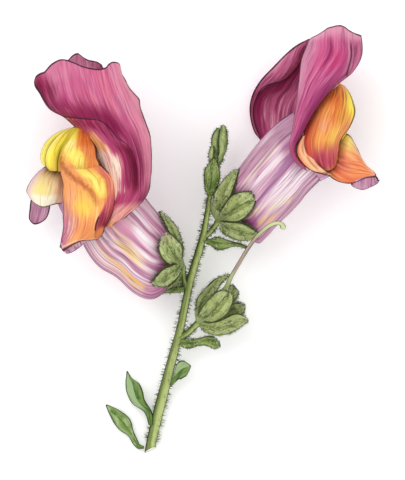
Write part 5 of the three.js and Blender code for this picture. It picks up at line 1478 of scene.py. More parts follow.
def flow(p, part):
    """The yellow and brown bands that run from the palate into the near lobe."""
    uneven = p.ragged(p.step(p.noise(p.place(), 1000 / 0.7), 0.3, 0.7), 2.6)
    band, glow = (p.math("ADD", p.get(name), uneven) for name in ("band", "glow"))
    p.over("#eb9c62", p.step(band, 3.0, 9.0), part, 0.6)
    p.over("#f3dc62", p.step(band, 8.6, 3.4), part, 0.92)
    p.over("#f7e98c", p.step(band, 4.0, 0.5), part, p.streak(1.6, 8, 0.44, 0.6, 8), 0.7)
    p.over("#d9632f", p.spot((98.5, 159, 20.6), 5.5, 3.5), p.streak(1.6, 8, 0.3, 0.5, 7), 0.9)
    p.over("#c8743c", p.step(glow, 5.6, 0.6), part, 0.75)
    p.over("#96502a", p.step(glow, 3.4, 0.0), part, 0.42)


def paint_left_palate():
    """Lemon yellow with olive painted shade in its groove, orange on its near flank, inked all
    round.
    """
    p = Paint("left_palate", "#f0dc48", HUMP)
    s, t = map(p.get, ("s", "t"))
    p.over("#f6efa0", p.spot((71, 147, 24), 9, 6), 0.85)
    p.over("#f6ea80", p.streak(1.6, 10, 0.44, 0.62, 3), p.step(s, 0.62, 0.4), 0.6)
    # Olive painted shade in the groove, darkest at its bottom.
    p.over("#a99a1e", p.window(s, 0.3, 0.36, 0.42, 0.5), p.step(t, 0.02, 0.3), 0.75)
    p.over("#5f5a1c", p.window(s, 0.35, 0.375, 0.395, 0.42), p.step(t, 0.3, 0.6), 0.85)
    p.over("#b8a52a", p.step(s, 0.45, 0.3), p.streak(2.2, 9, 0.5, 0.64, 7), 0.7)
    p.over("#c8b440", p.step(t, 0.3, 0.05), p.streak(2.0, 9, 0.46, 0.62, 4), 0.6)
    palate_hot(p, s, t)
    near = p.step(s, 0.4, 0.46)
    p.over("#eda05c", near, p.step(t, 0.62, 0.86), 0.9)
    flow(p, p.times(near, p.step(t, 0.34, 0.6)))
    shared_side(p, p.times(p.step(s, 0.76, 0.88), p.step(t, 0.46, 0.6)))
    p.pencil("#a8722c", 0.4)
    p.over(INK, p.step(s, 0.05, 0.026), p.step(t, 0.02, 0.06), 0.9)
    p.over(INK, p.step(s, 0.962, 0.978), 0.92)
    p.over(INK, p.step(t, 0.96, 0.978), p.step(s, 0.42, 0.36), 0.9)
    p.over(INK, p.step(t, 0.035, 0.02), 0.85)
    p.done()


def paint_left_hump():
    """Yellow, with painted shade towards the groove between the two humps."""
    p = Paint("left_far_hump", "#ecd848", HUMP)
    s = p.get("s")
    p.streaky("#f6ec80", "#b49c28", 1.8, 9, 0.75)
    # Painted shade towards the groove.
    p.over("#8f8024", p.step(s, 0.6, 0.84), 0.85)
    p.over(INK, p.window(s, 0.325, 0.35, 0.4, 0.425), 0.92)
    p.done()


def lobe_far_side(p, s, t):
    """The lobe's far side: rose and mauve towards its lower corner."""
    p.over("#e8a888", p.spot((68, 200, 22.6), 8, 8), p.streak(1.5, 7, 0.38, 0.6, 4), 0.7)
    p.over("#c67680", p.step(s, 0.46, 0.12), p.step(t, 0.36, 0.56), 0.88)
    p.over("#b4698e", p.step(s, 0.3, 0.04), p.step(t, 0.44, 0.66), 0.85)
    wide, narrow = p.step(s, 0.5, 0.15), p.step(s, 0.3, 0.04)
    p.over("#f0ccb8", wide, p.step(t, 0.4, 0.6), p.streak(1.9, 6, 0.56, 0.64, 6), 0.75)
    p.over("#8c3f6c", narrow, p.step(t, 0.3, 0.55), p.streak(2.0, 6, 0.46, 0.58, 16), 0.85)


def lobe_near_side(p, s, t, fold):
    """The lobe's near side: orange above, crimson below the fold."""
    shared_side(p, p.times(p.step(s, 0.6, 0.8), p.step(t, 0.26, 0.06)))
    rosy = p.times(p.step(s, 0.8, 0.92), p.window(t, 0.08, 0.16, 0.3, 0.45))
    p.over("#cf7068", rosy, 0.75)
    p.over("#f0b088", rosy, p.streak(1.6, 7, 0.5, 0.64, 21), 0.7)
    right = p.times(p.step(fold, -1.5, 1.0), p.step(t, 0.3, 0.42), p.step(t, 0.84, 0.78))
    p.over("#c8566a", right, 0.9)
    p.over("#a0264c", right, p.step(t, 0.4, 0.56), 0.9)
    p.over("#740e30", right, p.streak(1.8, 7, 0.42, 0.56, 5), p.step(t, 0.4, 0.6), 0.9)
    p.over("#e58a6c", right, p.streak(1.7, 7, 0.52, 0.64, 3), p.step(t, 0.62, 0.42), 0.7)


def lobe_roll(p, s, t):
    """The lower margin, rolled under so that its mauve back shows."""
    p.over("#e08648", p.spot((100, 233, 23), 6.5, 3, 0.0), 0.85)
    p.over("#d87c4c", p.spot((88, 230, 24.4), 9, 8), 0.6)
    p.over("#f0cdb8", p.window(t, 0.8, 0.82, 0.83, 0.85), p.step(s, 0.8, 0.5), 0.6)
    roll = p.step(t, 0.885, 0.905)
    p.over("#b78aa4", roll, 0.95)
    p.over("#d8b6c6", roll, p.streak(1.6, 5, 0.42, 0.62, 3), 0.7)
    p.over("#7c4470", roll, p.streak(2.2, 5, 0.5, 0.64, 5), 0.8)
    # Painted shade where the rolled margin stands on edge.
    p.over(INK, roll, p.turned(), 0.9)


def paint_left_near_lobe():
    """Orange with yellow at its root, and a mauve rolled margin."""
    p = Paint("left_near_lobe", "#eda05c")
    s, t, fold = map(p.get, ("s", "t", "mark"))
    p.streaky("#f5c890", "#d87846", 1.6, 7, 0.8)
    p.over("#f0d24a", p.spot((84, 201, 24.4), 13, 9), p.streak(1.6, 7, 0.2, 0.46, 6), 0.95)
    p.over("#f0b070", p.spot((68, 190, 22), 9, 8), 0.6)
    flow(p, p.step(t, 0.5, 0.3))
    p.over("#dd7a4e", p.spot((106, 174, 22.4), 6.0, 4.0), 0.8)
    p.over("#c86c78", p.spot((111, 173, 21.2), 5.0, 3.0), p.streak(1.5, 7, 0.3, 0.54, 9), 0.85)
    p.over("#e07a52", p.step(fold, -6.0, -1.0), p.step(t, 0.44, 0.3), 0.8)
    lobe_far_side(p, s, t)
    lobe_near_side(p, s, t, fold)
    lobe_roll(p, s, t)
    p.pencil("#a0503c", 0.45)
    p.over(INK, p.window(t, 0.848, 0.862, 0.89, 0.9), 0.9)
    front = p.step(p.get("front"), 0.3, 0.6)
    p.line(fold, 1.0, 0.4, p.spot((97, 224, 24.4), 8.5, 2, 0.0), front, 0.92)
    p.underside()
    p.margin()
    p.done()


def paint_left_middle_lobe():
    """Cream and buff with a brown root, and brown painted shade along the side under the near lobe.
    """
    p = Paint("left_middle_lobe", "#e8d4a8")
    s, t = map(p.get, ("s", "t"))
    p.over("#e6d880", p.spot((42, 190, 18.6), 9, 8), 0.85)
    p.over("#cfa464", p.step(t, 0.62, 0.1), p.streak(1.6, 7, 0.3, 0.56, 3), 0.9)
    p.over("#8f5c30", p.step(t, 0.4, 0.04), p.streak(1.9, 7, 0.36, 0.58, 6), 0.92)
    # Painted shade, peach and brown, along the side that meets the near lobe.
    p.over("#e0a888", p.step(s, 0.6, 0.95), 0.75)
    p.over("#b56e4c", p.step(s, 0.66, 1.0), p.streak(2.0, 7, 0.44, 0.6, 5), 0.85)
    p.over("#dcb8c4", p.step(s, 0.3, 0.02), 0.8)
    p.over("#b88aa4", p.step(s, 0.24, 0.0), p.streak(1.8, 7, 0.46, 0.62, 2), 0.6)
    inside = p.window(s, 0.12, 0.3, 0.7, 0.9)
    p.over("#f6f2dc", p.window(t, 0.62, 0.76, 0.93, 0.99), inside, 0.8)
    p.pencil("#9a7a50", 0.4)
    p.underside()
    p.margin()
    p.done()


def paint_mauve(name, base, light, dark, lined=0.0):
    """A mauve petal; lined says how dark the painted shade is where it turns away on edge."""
    p = Paint(name, base)
    p.streaky(light, dark, 1.6, 7, 0.8)
    p.pencil("#6c3458", 0.4)
    p.underside("#b888a4", "#8c5478")
    p.margin()
    # Painted shade where the petal stands on edge.
    if lined:
        p.over(INK, p.turned(), lined)
    p.done()


def bands(p, rows, soft, ends, brush, strength):
    """Bands along a tube, each [from side, to side, from t, to t, lean, colour]."""
    side, t = map(p.get, ("s", "t"))
    for lo, hi, start, stop, lean, colour in rows:
        across = p.math("ADD", side, p.times(t, lean)) if lean else side
        band = p.window(across, lo - soft, lo, hi, hi + soft)
        reach = p.window(t, start, start + ends[0], stop - ends[1], stop)
        p.over(colour, band, reach, p.streak(*brush), strength)


def paint_tube(name, base, stripes, yellow, white, tints_and_shade):
    """Pale mauve tube with white, mauve and yellow lengthwise bands, and painted shade along both
    flanks.
    """
    p = Paint(name, base)
    side, t = map(p.get, ("s", "t"))
    p.over("#efdce2", p.streak(0.6, 40, 0.5, 0.62, 2), 0.75 * stripes)
    p.over("#ba7498", p.streak(0.9, 40, 0.5, 0.62, 6), 0.75 * stripes)
    p.over("#f2dbe2", p.streak(1.4, 30, 0.52, 0.64, 9), 0.7 * stripes)
    p.over("#9c4c80", p.streak(1.7, 26, 0.56, 0.66, 12), 0.7 * stripes)
    bands(p, yellow, 0.1, (0.15, 0.15), (1.1, 22, 0.42, 0.6, 4), 0.75)
    bands(p, white, 0.05, (0.2, 0.2), (1.3, 26, 0.36, 0.54, 3), 0.85 * stripes)
    p.over("#a96e90", p.step(t, 0.3, 0.12), 0.5)
    p.over("#964478", p.step(t, 0.46, 0.2), p.streak(1.1, 12, 0.4, 0.6, 7), 0.85)
    p.over("#a85c8c", p.step(t, 0.8, 1.0), p.streak(1.4, 12, 0.44, 0.6, 17), 0.55)
    bands(p, tints_and_shade, 0.12, (0.12, 0.05), (1.0, 20, 0.3, 0.56, 14), 0.75)
    p.over("#6c3a5c", p.streak(2.1, 34, 0.56, 0.63, 15), 0.6)
    thread = p.times(p.streak(1.0, 60, 0.495, 0.515, 18), p.streak(1.0, 60, 0.535, 0.515, 18))
    p.over("#54284a", thread, 0.5)
    # Painted shade along both flanks, where the tube turns away.
    p.over("#b07c98", p.step(side, 0.86, 1.0), 0.5)
    p.over("#a87492", p.step(side, -0.86, -1.0), 0.5)
    p.margin(width=0.17, strength=0.85)
    inner = p.step(p.get("mark"), 0.5, 0.9)
    p.over("#f0d4a4", inner, 0.9)
    p.over("#c0628c", inner, p.streak(1.2, 20, 0.48, 0.62, 4), 0.7)
    p.done()


def paint_right_near_page():
    """Rose with a dark red side, and a flap that hangs over it."""
    p = Paint("right_near_page", "#c45c88", PAGE)
    s, t, flap = map(p.get, ("s", "t", "mark"))
    p.over("#dc8caa", p.streak(1.2, 13, 0.44, 0.66, 1), 0.75)
    p.over("#a83c72", p.streak(1.8, 14, 0.48, 0.64, 4), 0.75)
    p.over("#b22a64", p.spot((332, 60, 27), 13, 11), p.streak(1.3, 11, 0.3, 0.56, 3), 0.85)
    p.over("#7c1c50", p.streak(2.0, 12, 0.53, 0.64, 8), 0.75)
    p.over("#8a2460", p.step(s, 0.2, 0.8), p.step(t, 0.78, 0.55), 0.85)
    deep = p.times(p.step(s, 0.45, 1.0), p.step(t, 0.74, 0.5))
    p.over("#6e1548", deep, p.streak(1.7, 11, 0.42, 0.6, 5), 0.8)
    p.over("#c98ba4", p.step(s, 0.28, 0.02), p.step(t, 0.5, 0.62), 0.75)
    p.over("#dba0b2", p.step(t, 0.9, 0.98), 0.6)
    p.over("#b0486c", p.step(t, 0.34, 0.2), 0.7)
    side = p.times(p.step(flap, -0.4, 0.4), p.step(t, 0.96, 0.88))
    p.over("#b4587e", side, 0.85)
    p.over("#cf86a0", side, p.streak(1.6, 9, 0.5, 0.64, 7), 0.7)
    p.over("#7c2450", side, p.streak(1.9, 9, 0.46, 0.62, 2), 0.8)
    p.over("#6c1a44", p.window(flap, -3.5, -0.2, 1.2, 2.6), p.step(t, 0.96, 0.86), 0.45)
    p.line(flap, 0.9, 0.4, p.step(t, 0.925, 0.895), 0.9)
    p.pencil("#7c2c54", 0.4)
    p.underside("#a0487c", "#702050")
    p.margin()
    p.done()


def paint_right_far_page():
    """Rose with a paler rim in front."""
    p = Paint("right_far_page", "#ba5a80", PAGE)
    inside = p.get("mark")
    p.over("#e8a4ba", p.streak(1.3, 12, 0.48, 0.64, 1), 0.85)
    p.over("#922658", p.streak(1.7, 12, 0.48, 0.62, 6), 0.8)
    p.over("#6c1c42", p.spot((300, 122, 4), 16, 14), 0.6)
    p.over("#94205a", p.spot((300, 74, 5), 12, 10), 0.7)
    p.over("#961e56", p.window(inside, -13.0, -7.0, -2.0, -0.4), p.streak(1.4, 9, 0.3, 0.6, 9), 0.8)
    rim = p.step(inside, -0.4, 0.4)
    p.over("#c4668a", rim, 0.95)
    p.over("#d08ea8", rim, p.streak(1.3, 12, 0.44, 0.62, 3), 0.8)
    p.over("#8e3460", rim, p.streak(1.9, 11, 0.5, 0.64, 8), 0.8)
    p.over("#5c1038", p.window(inside, -4.0, -0.6, -0.6, 0.0), 0.6)
    p.pencil("#5c1c40", 0.4)
    p.line(inside, 0.8, 0.32, 0.85)
    p.underside("#b45a8a", "#8c3468")
    p.margin()
    p.done()


def paint_right_palate():
    """Orange, yellow at its top, red where it meets the lobes."""
    p = Paint("right_palate", "#e58c4c", HUMP)
    s, t = map(p.get, ("s", "t"))
    p.streaky("#f4bc62", "#c4562c", 1.8, 10, 0.9)
    p.over("#f0c858", p.spot((335, 136, 24), 9, 12), p.streak(1.6, 10, 0.38, 0.56, 3), 0.92)
    p.over("#f2da3c", p.spot((352, 104, 19.6), 14, 8), 0.95)
    p.over("#f6ea70", p.spot((354, 106, 18.4), 8, 5), p.streak(1.5, 9, 0.42, 0.6, 2), 0.75)
    p.over("#d8a030", p.spot((345, 116, 22.6), 11, 8), p.streak(1.9, 9, 0.46, 0.62, 5), 0.8)
    p.over("#e07030", p.spot((334, 98, 22.4), 10, 8), 0.75)
    p.over("#9c4818", p.spot((340, 97, 21.4), 9, 8), p.streak(1.9, 8, 0.42, 0.58, 7), 0.9)
    p.over("#cc4a34", p.step(s, 0.4, 0.08), p.step(t, 0.2, 0.46), 0.9)
    corner = p.times(p.step(s, 0.34, 0.04), p.step(t, 0.3, 0.55))
    p.over("#9c2c34", corner, p.streak(1.9, 10, 0.42, 0.56, 9), 0.9)
    p.over("#c0485c", p.spot((324, 160, 22.4), 14, 9), 0.9)
    p.over("#982650", p.spot((326, 163, 21.8), 12, 8), p.streak(1.7, 8, 0.38, 0.54, 4), 0.9)
    p.over("#c8646c", p.spot((336, 152, 21.4), 8, 7), p.streak(1.5, 8, 0.4, 0.6, 6), 0.75)
    p.over("#d89c98", p.spot((320, 126, 23.6), 7, 9), p.streak(1.6, 8, 0.44, 0.62, 8), 0.6)
    p.pencil("#9c4c2c", 0.45)
    p.over(INK, p.step(s, 0.045, 0.022), p.step(t, 0.02, 0.06), 0.9)
    p.over(INK, p.step(s, 0.958, 0.976), p.step(t, 0.72, 0.64), 0.9)
    p.over(INK, p.step(t, 0.955, 0.975), 0.9)
    p.done()


def paint_right_hump():
    """Yellow with one dark line in the groove."""
    p = Paint("right_far_hump", "#eed648", HUMP)
    p.streaky("#f6ea84", "#bc9c2c", 1.8, 9, 0.75)
    p.over(INK, p.window(p.get("s"), 0.42, 0.45, 0.5, 0.53), 0.9)
    p.done()


def paint_right_near_lobe():
    """Orange with a cream far side."""
    p = Paint("right_near_lobe", "#e9905c")
    s, t = map(p.get, ("s", "t"))
    p.streaky("#f4b884", "#d06a42", 1.6, 7, 0.8)
    p.over("#eed878", p.step(s, 0.42, 0.1), p.step(t, 0.6, 0.25), 0.85)
    p.over("#e4c48c", p.step(s, 0.34, 0.06), p.window(t, 0.3, 0.5, 0.7, 0.9), 0.75)
    p.over("#b0a058", p.spot((350, 138, 18.0), 8, 6), p.streak(2.0, 6, 0.46, 0.62, 6), 0.7)
    p.over("#c05858", p.spot((341, 164, 19.6), 9, 7), p.streak(1.7, 7, 0.36, 0.58, 4), 0.85)
    p.over("#dc6440", p.step(s, 0.5, 0.95), p.streak(1.5, 7, 0.36, 0.6, 13), 0.75)
    p.over("#f2bf9c", p.spot((374, 172, 18.4), 6, 6), 0.75)
    p.over("#cc4c3c", p.streak(1.5, 6, 0.54, 0.66, 12), p.step(t, 0.3, 0.6), 0.6)
    p.pencil("#a44c34", 0.45)
    p.underside()
    p.margin()
    p.done()


def paint_strip():
    """The strip of throat that shows beside the right palate."""
    p = Paint("right_throat", "#e9a878")
    s = p.get("s")
    p.over("#dc7c50", p.step(s, 0.3, 0.1), p.streak(1.5, 8, 0.3, 0.56, 2), 0.9)
    p.over("#efc898", p.step(s, 0.2, 0.4), 0.7)
    p.over("#c86a50", p.streak(1.9, 7, 0.5, 0.62, 8), 0.7)
    p.underside("#c884a8", "#945088")
    p.margin()
    p.done()


def paint_throat():
    """Cream inside, mauve outside."""
    p = Paint("throat", "#e4c494")
    p.streaky("#f0e0bc", "#ac4870", 1.2, 10, 0.75)
    outside = p.step(p.get("front"), 0.4, 0.6)
    p.over("#b8668e", outside)
    p.over("#d698b2", outside, p.streak(1.3, 12, 0.46, 0.62, 4), 0.8)
    p.over("#8a3a6a", outside, p.streak(1.8, 12, 0.48, 0.62, 9), 0.8)
    p.done()


def paint_green(name, base, light, dark, ink, tip=None, pale=None):
    """Green tissue with short strokes, painted shade over its middle, painted highlight on its two
    halves, a dark midrib and, where given, a paler half.
    """
    p = Paint(name, base, GREEN)
    s, t = map(p.get, ("s", "t"))
    middle = p.math("ABSOLUTE", p.math("SUBTRACT", p.times(s, 2.0), 1.0), 0.0)
    p.over(light, p.streak(1.5, 2.2, 0.44, 0.64, 1), 0.8)
    p.over(dark, p.streak(2.1, 1.8, 0.48, 0.62, 5), 0.8)
    # Painted shade over the middle, along the sunken midrib, and painted highlight on the halves
    # beside it.
    p.over(dark, p.step(middle, 0.5, 0.1), p.step(t, 0.8, 0.1), 0.55)
    p.over(light, p.window(middle, 0.3, 0.5, 0.7, 0.95), p.step(t, 0.2, 0.6), 0.45)
    if tip:
        p.over(tip, p.step(t, 0.5, 0.9), p.streak(1.4, 3, 0.36, 0.6, 3), 0.75)
    if pale:
        p.over(pale, p.step(s, 0.56, 0.46), p.step(t, 0.98, 0.9), p.step(t, 0.12, 0.3), 0.85)
    p.over(dark, p.step(middle, 0.1, 0.03), p.step(t, 0.97, 0.6), 0.85)
    p.pencil(dark, 0.35)
    p.margin(GREEN_INK, ink, 0.9)
    p.done()


def paint_stem():
    """Green, with painted shade along its lower side and at its other flank, a painted highlight
    along its top, and a pale cut face at its foot.
    """
    light, dark = "#b8c582", "#5a6a2c"
    p = Paint("stem", "#93a25b", GREEN)
    side, top, t = map(p.get, ("s", "front", "t"))
    p.over(light, p.step(t, 0.5, 0.05), 0.55)
    p.over(light, p.streak(1.6, 14, 0.48, 0.62, 1), 0.7)
    p.over(dark, p.streak(2.0, 12, 0.46, 0.6, 6), 0.7)
    # Painted highlight along the top, towards one flank.
    p.over(light, p.window(side, -0.9, -0.7, -0.3, 0.1), p.step(top, 0.5, 0.8), 0.6)
    # Painted shade along one side, and more at the other flank.
    p.over(dark, p.step(side, 0.0, 0.65), 0.8)
    p.over(dark, p.step(side, -0.7, -1.0), 0.6)
    cut = p.get("mark")
    p.over("#f2f3e4", p.step(cut, 0.38, 0.44), 0.95)
    p.over(GREEN_INK, p.window(cut, 0.2, 0.29, 0.4, 0.46), 0.9)
    p.margin(GREEN_INK, 0.2, 0.95)
    p.done()


def paint_bud():
    """Green with dark strokes, and painted shade along its sides."""
    p = Paint("bud", "#a6b674", GREEN)
    side = p.get("s")
    p.over("#bccb8e", p.streak(1.8, 6, 0.44, 0.62, 1), 0.75)
    p.over("#54682e", p.streak(2.2, 6, 0.44, 0.6, 5), 0.8)
    # Painted shade along both sides, deeper on one.
    p.over("#465a26", p.step(side, 0.5, 0.95), 0.6)
    p.over("#566a30", p.step(side, -0.6, -1.0), 0.5)
    p.margin(GREEN_INK, 0.16, 0.92)
    p.done()


def paint_style():
    """Green at its foot, tan and mauve in the middle, pale green at its tip."""
    p = Paint("spent_style", "#b4bc88")
    t = p.get("t")
    p.over("#8c9c56", p.step(t, 0.4, 0.2), 0.9)
    p.over("#b09a84", p.window(t, 0.34, 0.46, 0.7, 0.84), 0.85)
    p.over("#846878", p.window(t, 0.36, 0.46, 0.7, 0.8), p.streak(2.2, 8, 0.44, 0.6, 3), 0.7)
    p.over("#c8d29c", p.step(t, 0.8, 0.9), 0.85)
    p.over("#66793a", p.step(t, 0.34, 0.14), p.streak(1.9, 6, 0.46, 0.6, 6), 0.7)
    p.margin(GREEN_INK, 0.13, 0.92)
    p.done()


def paint_plain(name, base, light, dark):
    """Two tones of strokes over a first colour."""
    p = Paint(name, base, PLAIN)
    p.streaky(light, dark, 2.0, 8, 0.7)
    p.done()


def paint_hair():
    """The dark hairs on stems and margins, paler towards their tips."""
    p = Paint("hair", "#55633a", DOWN)
    p.over("#7d8a5c", p.step(p.get("t"), 0.4, 1.0), 0.6)
    p.over("#343f20", p.cloud(0.9, 0.48, 0.62), 0.7)
    p.done()


def paint_down():
    """The pale hairs that lie over the green faces."""
    p = Paint("down", "#d4dcb0", DOWN)
    p.over("#f2f5e4", p.step(p.get("t"), 0.2, 0.8), 0.8)
    p.over("#3c4c22", p.cloud(0.7, 0.52, 0.55), 0.94)
    p.done()


def mix_tubes():
    """Both tubes' paints; a band runs lengthwise between two sides, the flanks being -1 and 1."""
    paint_tube(
        "left_tube", "#d7a4b9", 1.0,
        yellow=[(-0.84, -0.66, 0.3, 0.9, 0, "#ecca84"), (-0.5, -0.12, 0.35, 0.9, 0, "#f2dcae"),
                (-0.42, -0.28, 0.4, 0.85, 0, "#ecc078"), (-0.78, -0.7, 0.3, 0.75, 0, "#e2ac50")],
        # The first white band here is a painted highlight along the tube's top.
        white=[(0.2, 0.3, 0.2, 0.95, 0, WHITE), (0.52, 0.56, 0.3, 0.95, 0, WHITE),
               (-0.1, -0.05, 0.15, 0.6, 0, WHITE), (-0.62, -0.58, 0.2, 0.7, 0, WHITE)],
        tints_and_shade=[(0.05, 0.4, 0.5, 0.9, 0, "#d690a8"), (-1.0, -0.7, 0.0, 0.4, 0, "#b0588a")],
    )
    paint_tube(
        "right_tube", "#d2a6ba", 0.75,
        yellow=[(0.1, 0.2, 0.18, 0.76, 1.25, "#f0d88c"), (-0.16, -0.06, 0.2, 0.58, 1.25, "#ecc070"),
                (0.54, 0.62, 0.3, 0.85, 0, "#f4e8cc")],
        white=[(0.08, 0.5, 0.3, 0.88, 0, WHITE), (-0.66, -0.2, 0.4, 1.1, 0, WHITE)],
        # The second of these rows is painted shadow over the tube's mouth end.
        tints_and_shade=[(-0.44, -0.34, 0.3, 0.9, -0.5, "#8c5488"), (-0.4, 0.9, 0.74, 1.1, 0, "#a0648c"),
              (0.62, 0.84, 0.3, 1.0, 0, "#b48a9e"), (-0.5, 0.3, 0.0, 0.36, 0, "#a85090")],
    )


def mix_paints():
    """Every material, the ones that share a recipe from rows of colours."""
    for mix in (
        paint_left_near_page, paint_left_far_page, paint_left_palate, paint_left_hump,
        paint_left_near_lobe, paint_left_middle_lobe, paint_right_near_page,
        paint_right_far_page, paint_right_palate, paint_right_hump, paint_right_near_lobe,
        paint_strip, paint_throat, paint_stem, paint_bud, paint_style, paint_hair, paint_down,
    ):
        mix()
    for name, base, light, dark in (
        ("left_far_lobe", "#cc96b0", "#e2bccc", "#925878"),
        ("left_apron", "#a8708e", "#c898ae", "#744460"),
        ("right_far_lobe", "#c08aa8", "#d4a8bc", "#7e4468"),
        ("right_curl", "#b87c98", "#d2a2b8", "#8a5074"),
    ):
        paint_mauve(name, base, light, dark)
    paint_mauve("right_apron", "#c692b0", "#dcb8cc", "#8c507c", 0.85)
    for name, base, light, dark in (
        ("right_middle_lobe", "#e8a870", "#f2d09c", "#b86c50"),
        ("calyx_cup", "#86965a", "#a8b47c", "#55663a"),
        ("pistil", "#c6d68a", "#e4ecb8", "#93a85c"),
        ("stamen", "#f0e4b8", "#fbf6dc", "#d0b870"),
    ):
        paint_plain(name, base, light, dark)
    mix_tubes()
    paint_green("sepal", "#8f9b58", "#b6c084", "#50602b", 0.3)
    paint_green("sepal_tip", "#98a266", "#c0cc90", "#56692e", 0.3, tip="#a48a70")
    paint_green("bract", "#74883e", "#97a866", "#3c5424", 0.26)
    paint_green("leaf", "#68863f", "#8ea36a", "#365626", 0.34, pale="#9db384")
    paint_green("loose", "#789448", "#a4b682", "#3e5e26", 0.34)


# ---- stem, stalks, buds and leaves ----
def stem_piece():
    body = Body("stem")
    made = rod(body, STEM, 150, 20, "stem", ribs(5, 0.12), FOOT_SLANT)
    rod_hairs(body, made, count=1000, length=1.1, lo=0.03, hi=1.0)
    for stalk, count in ((LEFT_STALK, 120), (RIGHT_STALK, 90), (SPENT_STALK, 130)):
        made = rod(body, stalk, 30, 16, "stem", ribs(4, 0.1))
        rod_hairs(body, made, count, length=0.8, lo=0.05, hi=0.8)
    body.finish()


def bud_piece():
    body = Body("bud_cluster", "buds")
    rod(body, BUD_AXIS, 12, 14, "bud")
    for points, count in ((RIGHT_BUD, 150), (BACK_BUD, 90), (LEFT_BUD, 80), (SIDE_BUD, 50)):
        made = rod(body, points, 40, 22, "bud", ribs(6, 0.14))
        rod_hairs(body, made, count, length=0.65, lo=0.1, hi=0.98)
    body.finish()


def bract_piece(node, pairs, fringe, length, down):
    """A bract with so many hairs on its margins and on its face."""
    body = Body(node)
    grid, normals = leaf(body, pairs, BRACT_RISE, "bract")
    margin_hairs(body, grid, fringe, length)
    face_hairs(body, grid, normals, down, length=0.6)
    body.finish()


def small_leaf():
    body = Body("small_leaf")
    grid, _ = leaf(body, SMALL_LEAF, LEAF_RISE, "leaf")
    margin_hairs(body, grid, count=40, length=0.35)
    body.finish()


def long_leaf(node, pairs, paint):
    """One of the two leaves by the foot, which have no hairs."""
    body = Body(node)
    leaf(body, pairs, LEAF_RISE, paint, along=64, veins=9)
    body.finish()


def calyx_piece(node, pole, stations, sepals, brown=None):
    """A cup and its sepals; one of them may have a brown tip."""
    body = Body(node)
    cup(body, pole, stations, 16, 36, "calyx_cup")
    for k, pairs in enumerate(sepals):
        paint = "sepal_tip" if k == brown else "sepal"
        grid, normals = leaf(body, pairs, SEPAL_RISE, paint, 46, 26, veins=5, depth=0.04,
                             keel=0.2, curl=0.12, spin=3 * k)
        margin_hairs(body, grid, count=190, length=0.7)
        face_hairs(body, grid, normals, count=170, length=0.6)
    body.finish()


# ---- the blooms ----
def tube_piece(node, pole, stations, lined):
    """A bloom's tube; lined draws a dark line round its mouth."""
    body = Body(node)
    cup(body, pole, stations, 90, 120, node, relief=0.22, folds=8, lined=lined)
    body.finish()


def left_upper_lip():
    body = Body("left_upper_lip")
    grid = trimmed(net(LEFT_NEAR_PAGE, 120, 90), "right", NEAR_PAGE_LOWER, reach=2.0)
    grid = trimmed(grid, "left", NEAR_PAGE_SIDE, reach=2.4)
    grid = trimmed(grid, "end", NEAR_PAGE_TOP, reach=2.4)
    grid = waved(grid, ("end",), height=0.10, count=5, reach=1.6, phase=0.6)
    grid = waved(grid, ("left",), height=0.07, count=6, reach=1.0, phase=2.0)
    grid = veined(grid, 17, 0.09, free=("end", "left"))
    slab(body, grid, "left_near_page", ("end", "left"), True, mark=line_distance(grid, CREASE))
    grid = trimmed(net(LEFT_FAR_PAGE, 90, 60), "end", FAR_PAGE_TOP, reach=2.0)
    grid = waved(grid, ("end", "left"), height=0.09, count=5, reach=1.4)
    grid = veined(grid, 13, 0.08, free=("end", "left"))
    slab(body, grid, "left_far_page", ("end", "left"), True, spin=9)
    slab(body, net(LEFT_ROOF, 40, 40), "throat", spin=4)
    body.finish()


def flow_lines(grid):
    """Distances to the yellow and the brown band that cross from palate to lobe."""
    return {
        "band": np.abs(line_distance(grid, YELLOW_FLOW)),
        "glow": np.abs(line_distance(grid, BROWN_FLOW)),
    }


def left_palate():
    body = Body("left_palate")
    grid = veined(net(LEFT_PALATE, 70, 70), 9, 0.10)
    slab(body, grid, "left_palate", flip=True, **flow_lines(grid))
    grid = veined(net(LEFT_FAR_HUMP, 50, 40), 5, 0.08)
    slab(body, grid, "left_far_hump", flip=True, spin=2)
    body.finish()


def near_lobe_rows():
    """The lobe starts on the palate, which runs into it without a step."""
    palate = plan(net(LEFT_PALATE, 60, 60))
    # Its near half, at 48 and at 56 sixtieths of the way down.
    high, low = palate[48, 25::7], palate[56, 25::7]
    high[:, 2] -= 0.3
    low[:, 2] += 0.2
    return np.array([high, low, *LEFT_NEAR_LOBE])


def left_lower_lip():
    body = Body("left_lower_lip")
    grid = trimmed(net(near_lobe_rows(), 104, 64), "left", NEAR_LOBE_LEFT, reach=1.2)
    grid = veined(grid, 9, 0.08, free=("end",))
    slab(body, grid, "left_near_lobe", ("end", "left", "right"), True,
         mark=-line_distance(grid, NEAR_LOBE_FOLD), **flow_lines(grid))
    grid = veined(net(LEFT_MIDDLE_LOBE, 50, 50), 7, 0.1, free=("end",))
    slab(body, grid, "left_middle_lobe", ("end", "left"), True, spin=3)
    grid = veined(net(LEFT_FAR_LOBE, 50, 36), 5, 0.08, free=("end",))
    slab(body, grid, "left_far_lobe", ("end", "left", "right"), True, spin=5)
    slab(body, net(stretched(LEFT_APRON, 0.08), 40, 50), "left_apron", spin=7)
    body.finish()


def right_upper_lip():
    body = Body("right_upper_lip")
    grid = net(RIGHT_NEAR_PAGE, 120, 64)
    grid = waved(grid, ("end",), height=0.09, count=4, reach=1.4, phase=0.4)
    grid = veined(grid, 13, 0.09, free=("end", "left"))
    slab(body, grid, "right_near_page", ("end", "left", "right"), mark=line_distance(grid, FLAP))
    grid = veined(net(RIGHT_FAR_PAGE, 90, 70), 13, 0.09, free=("end", "left"))
    slab(body, grid, "right_far_page", ("end", "left"), mark=-line_distance(grid, RIM), spin=9)
    slab(body, net(RIGHT_ROOF, 40, 40), "throat", flip=True, spin=4)
    body.finish()


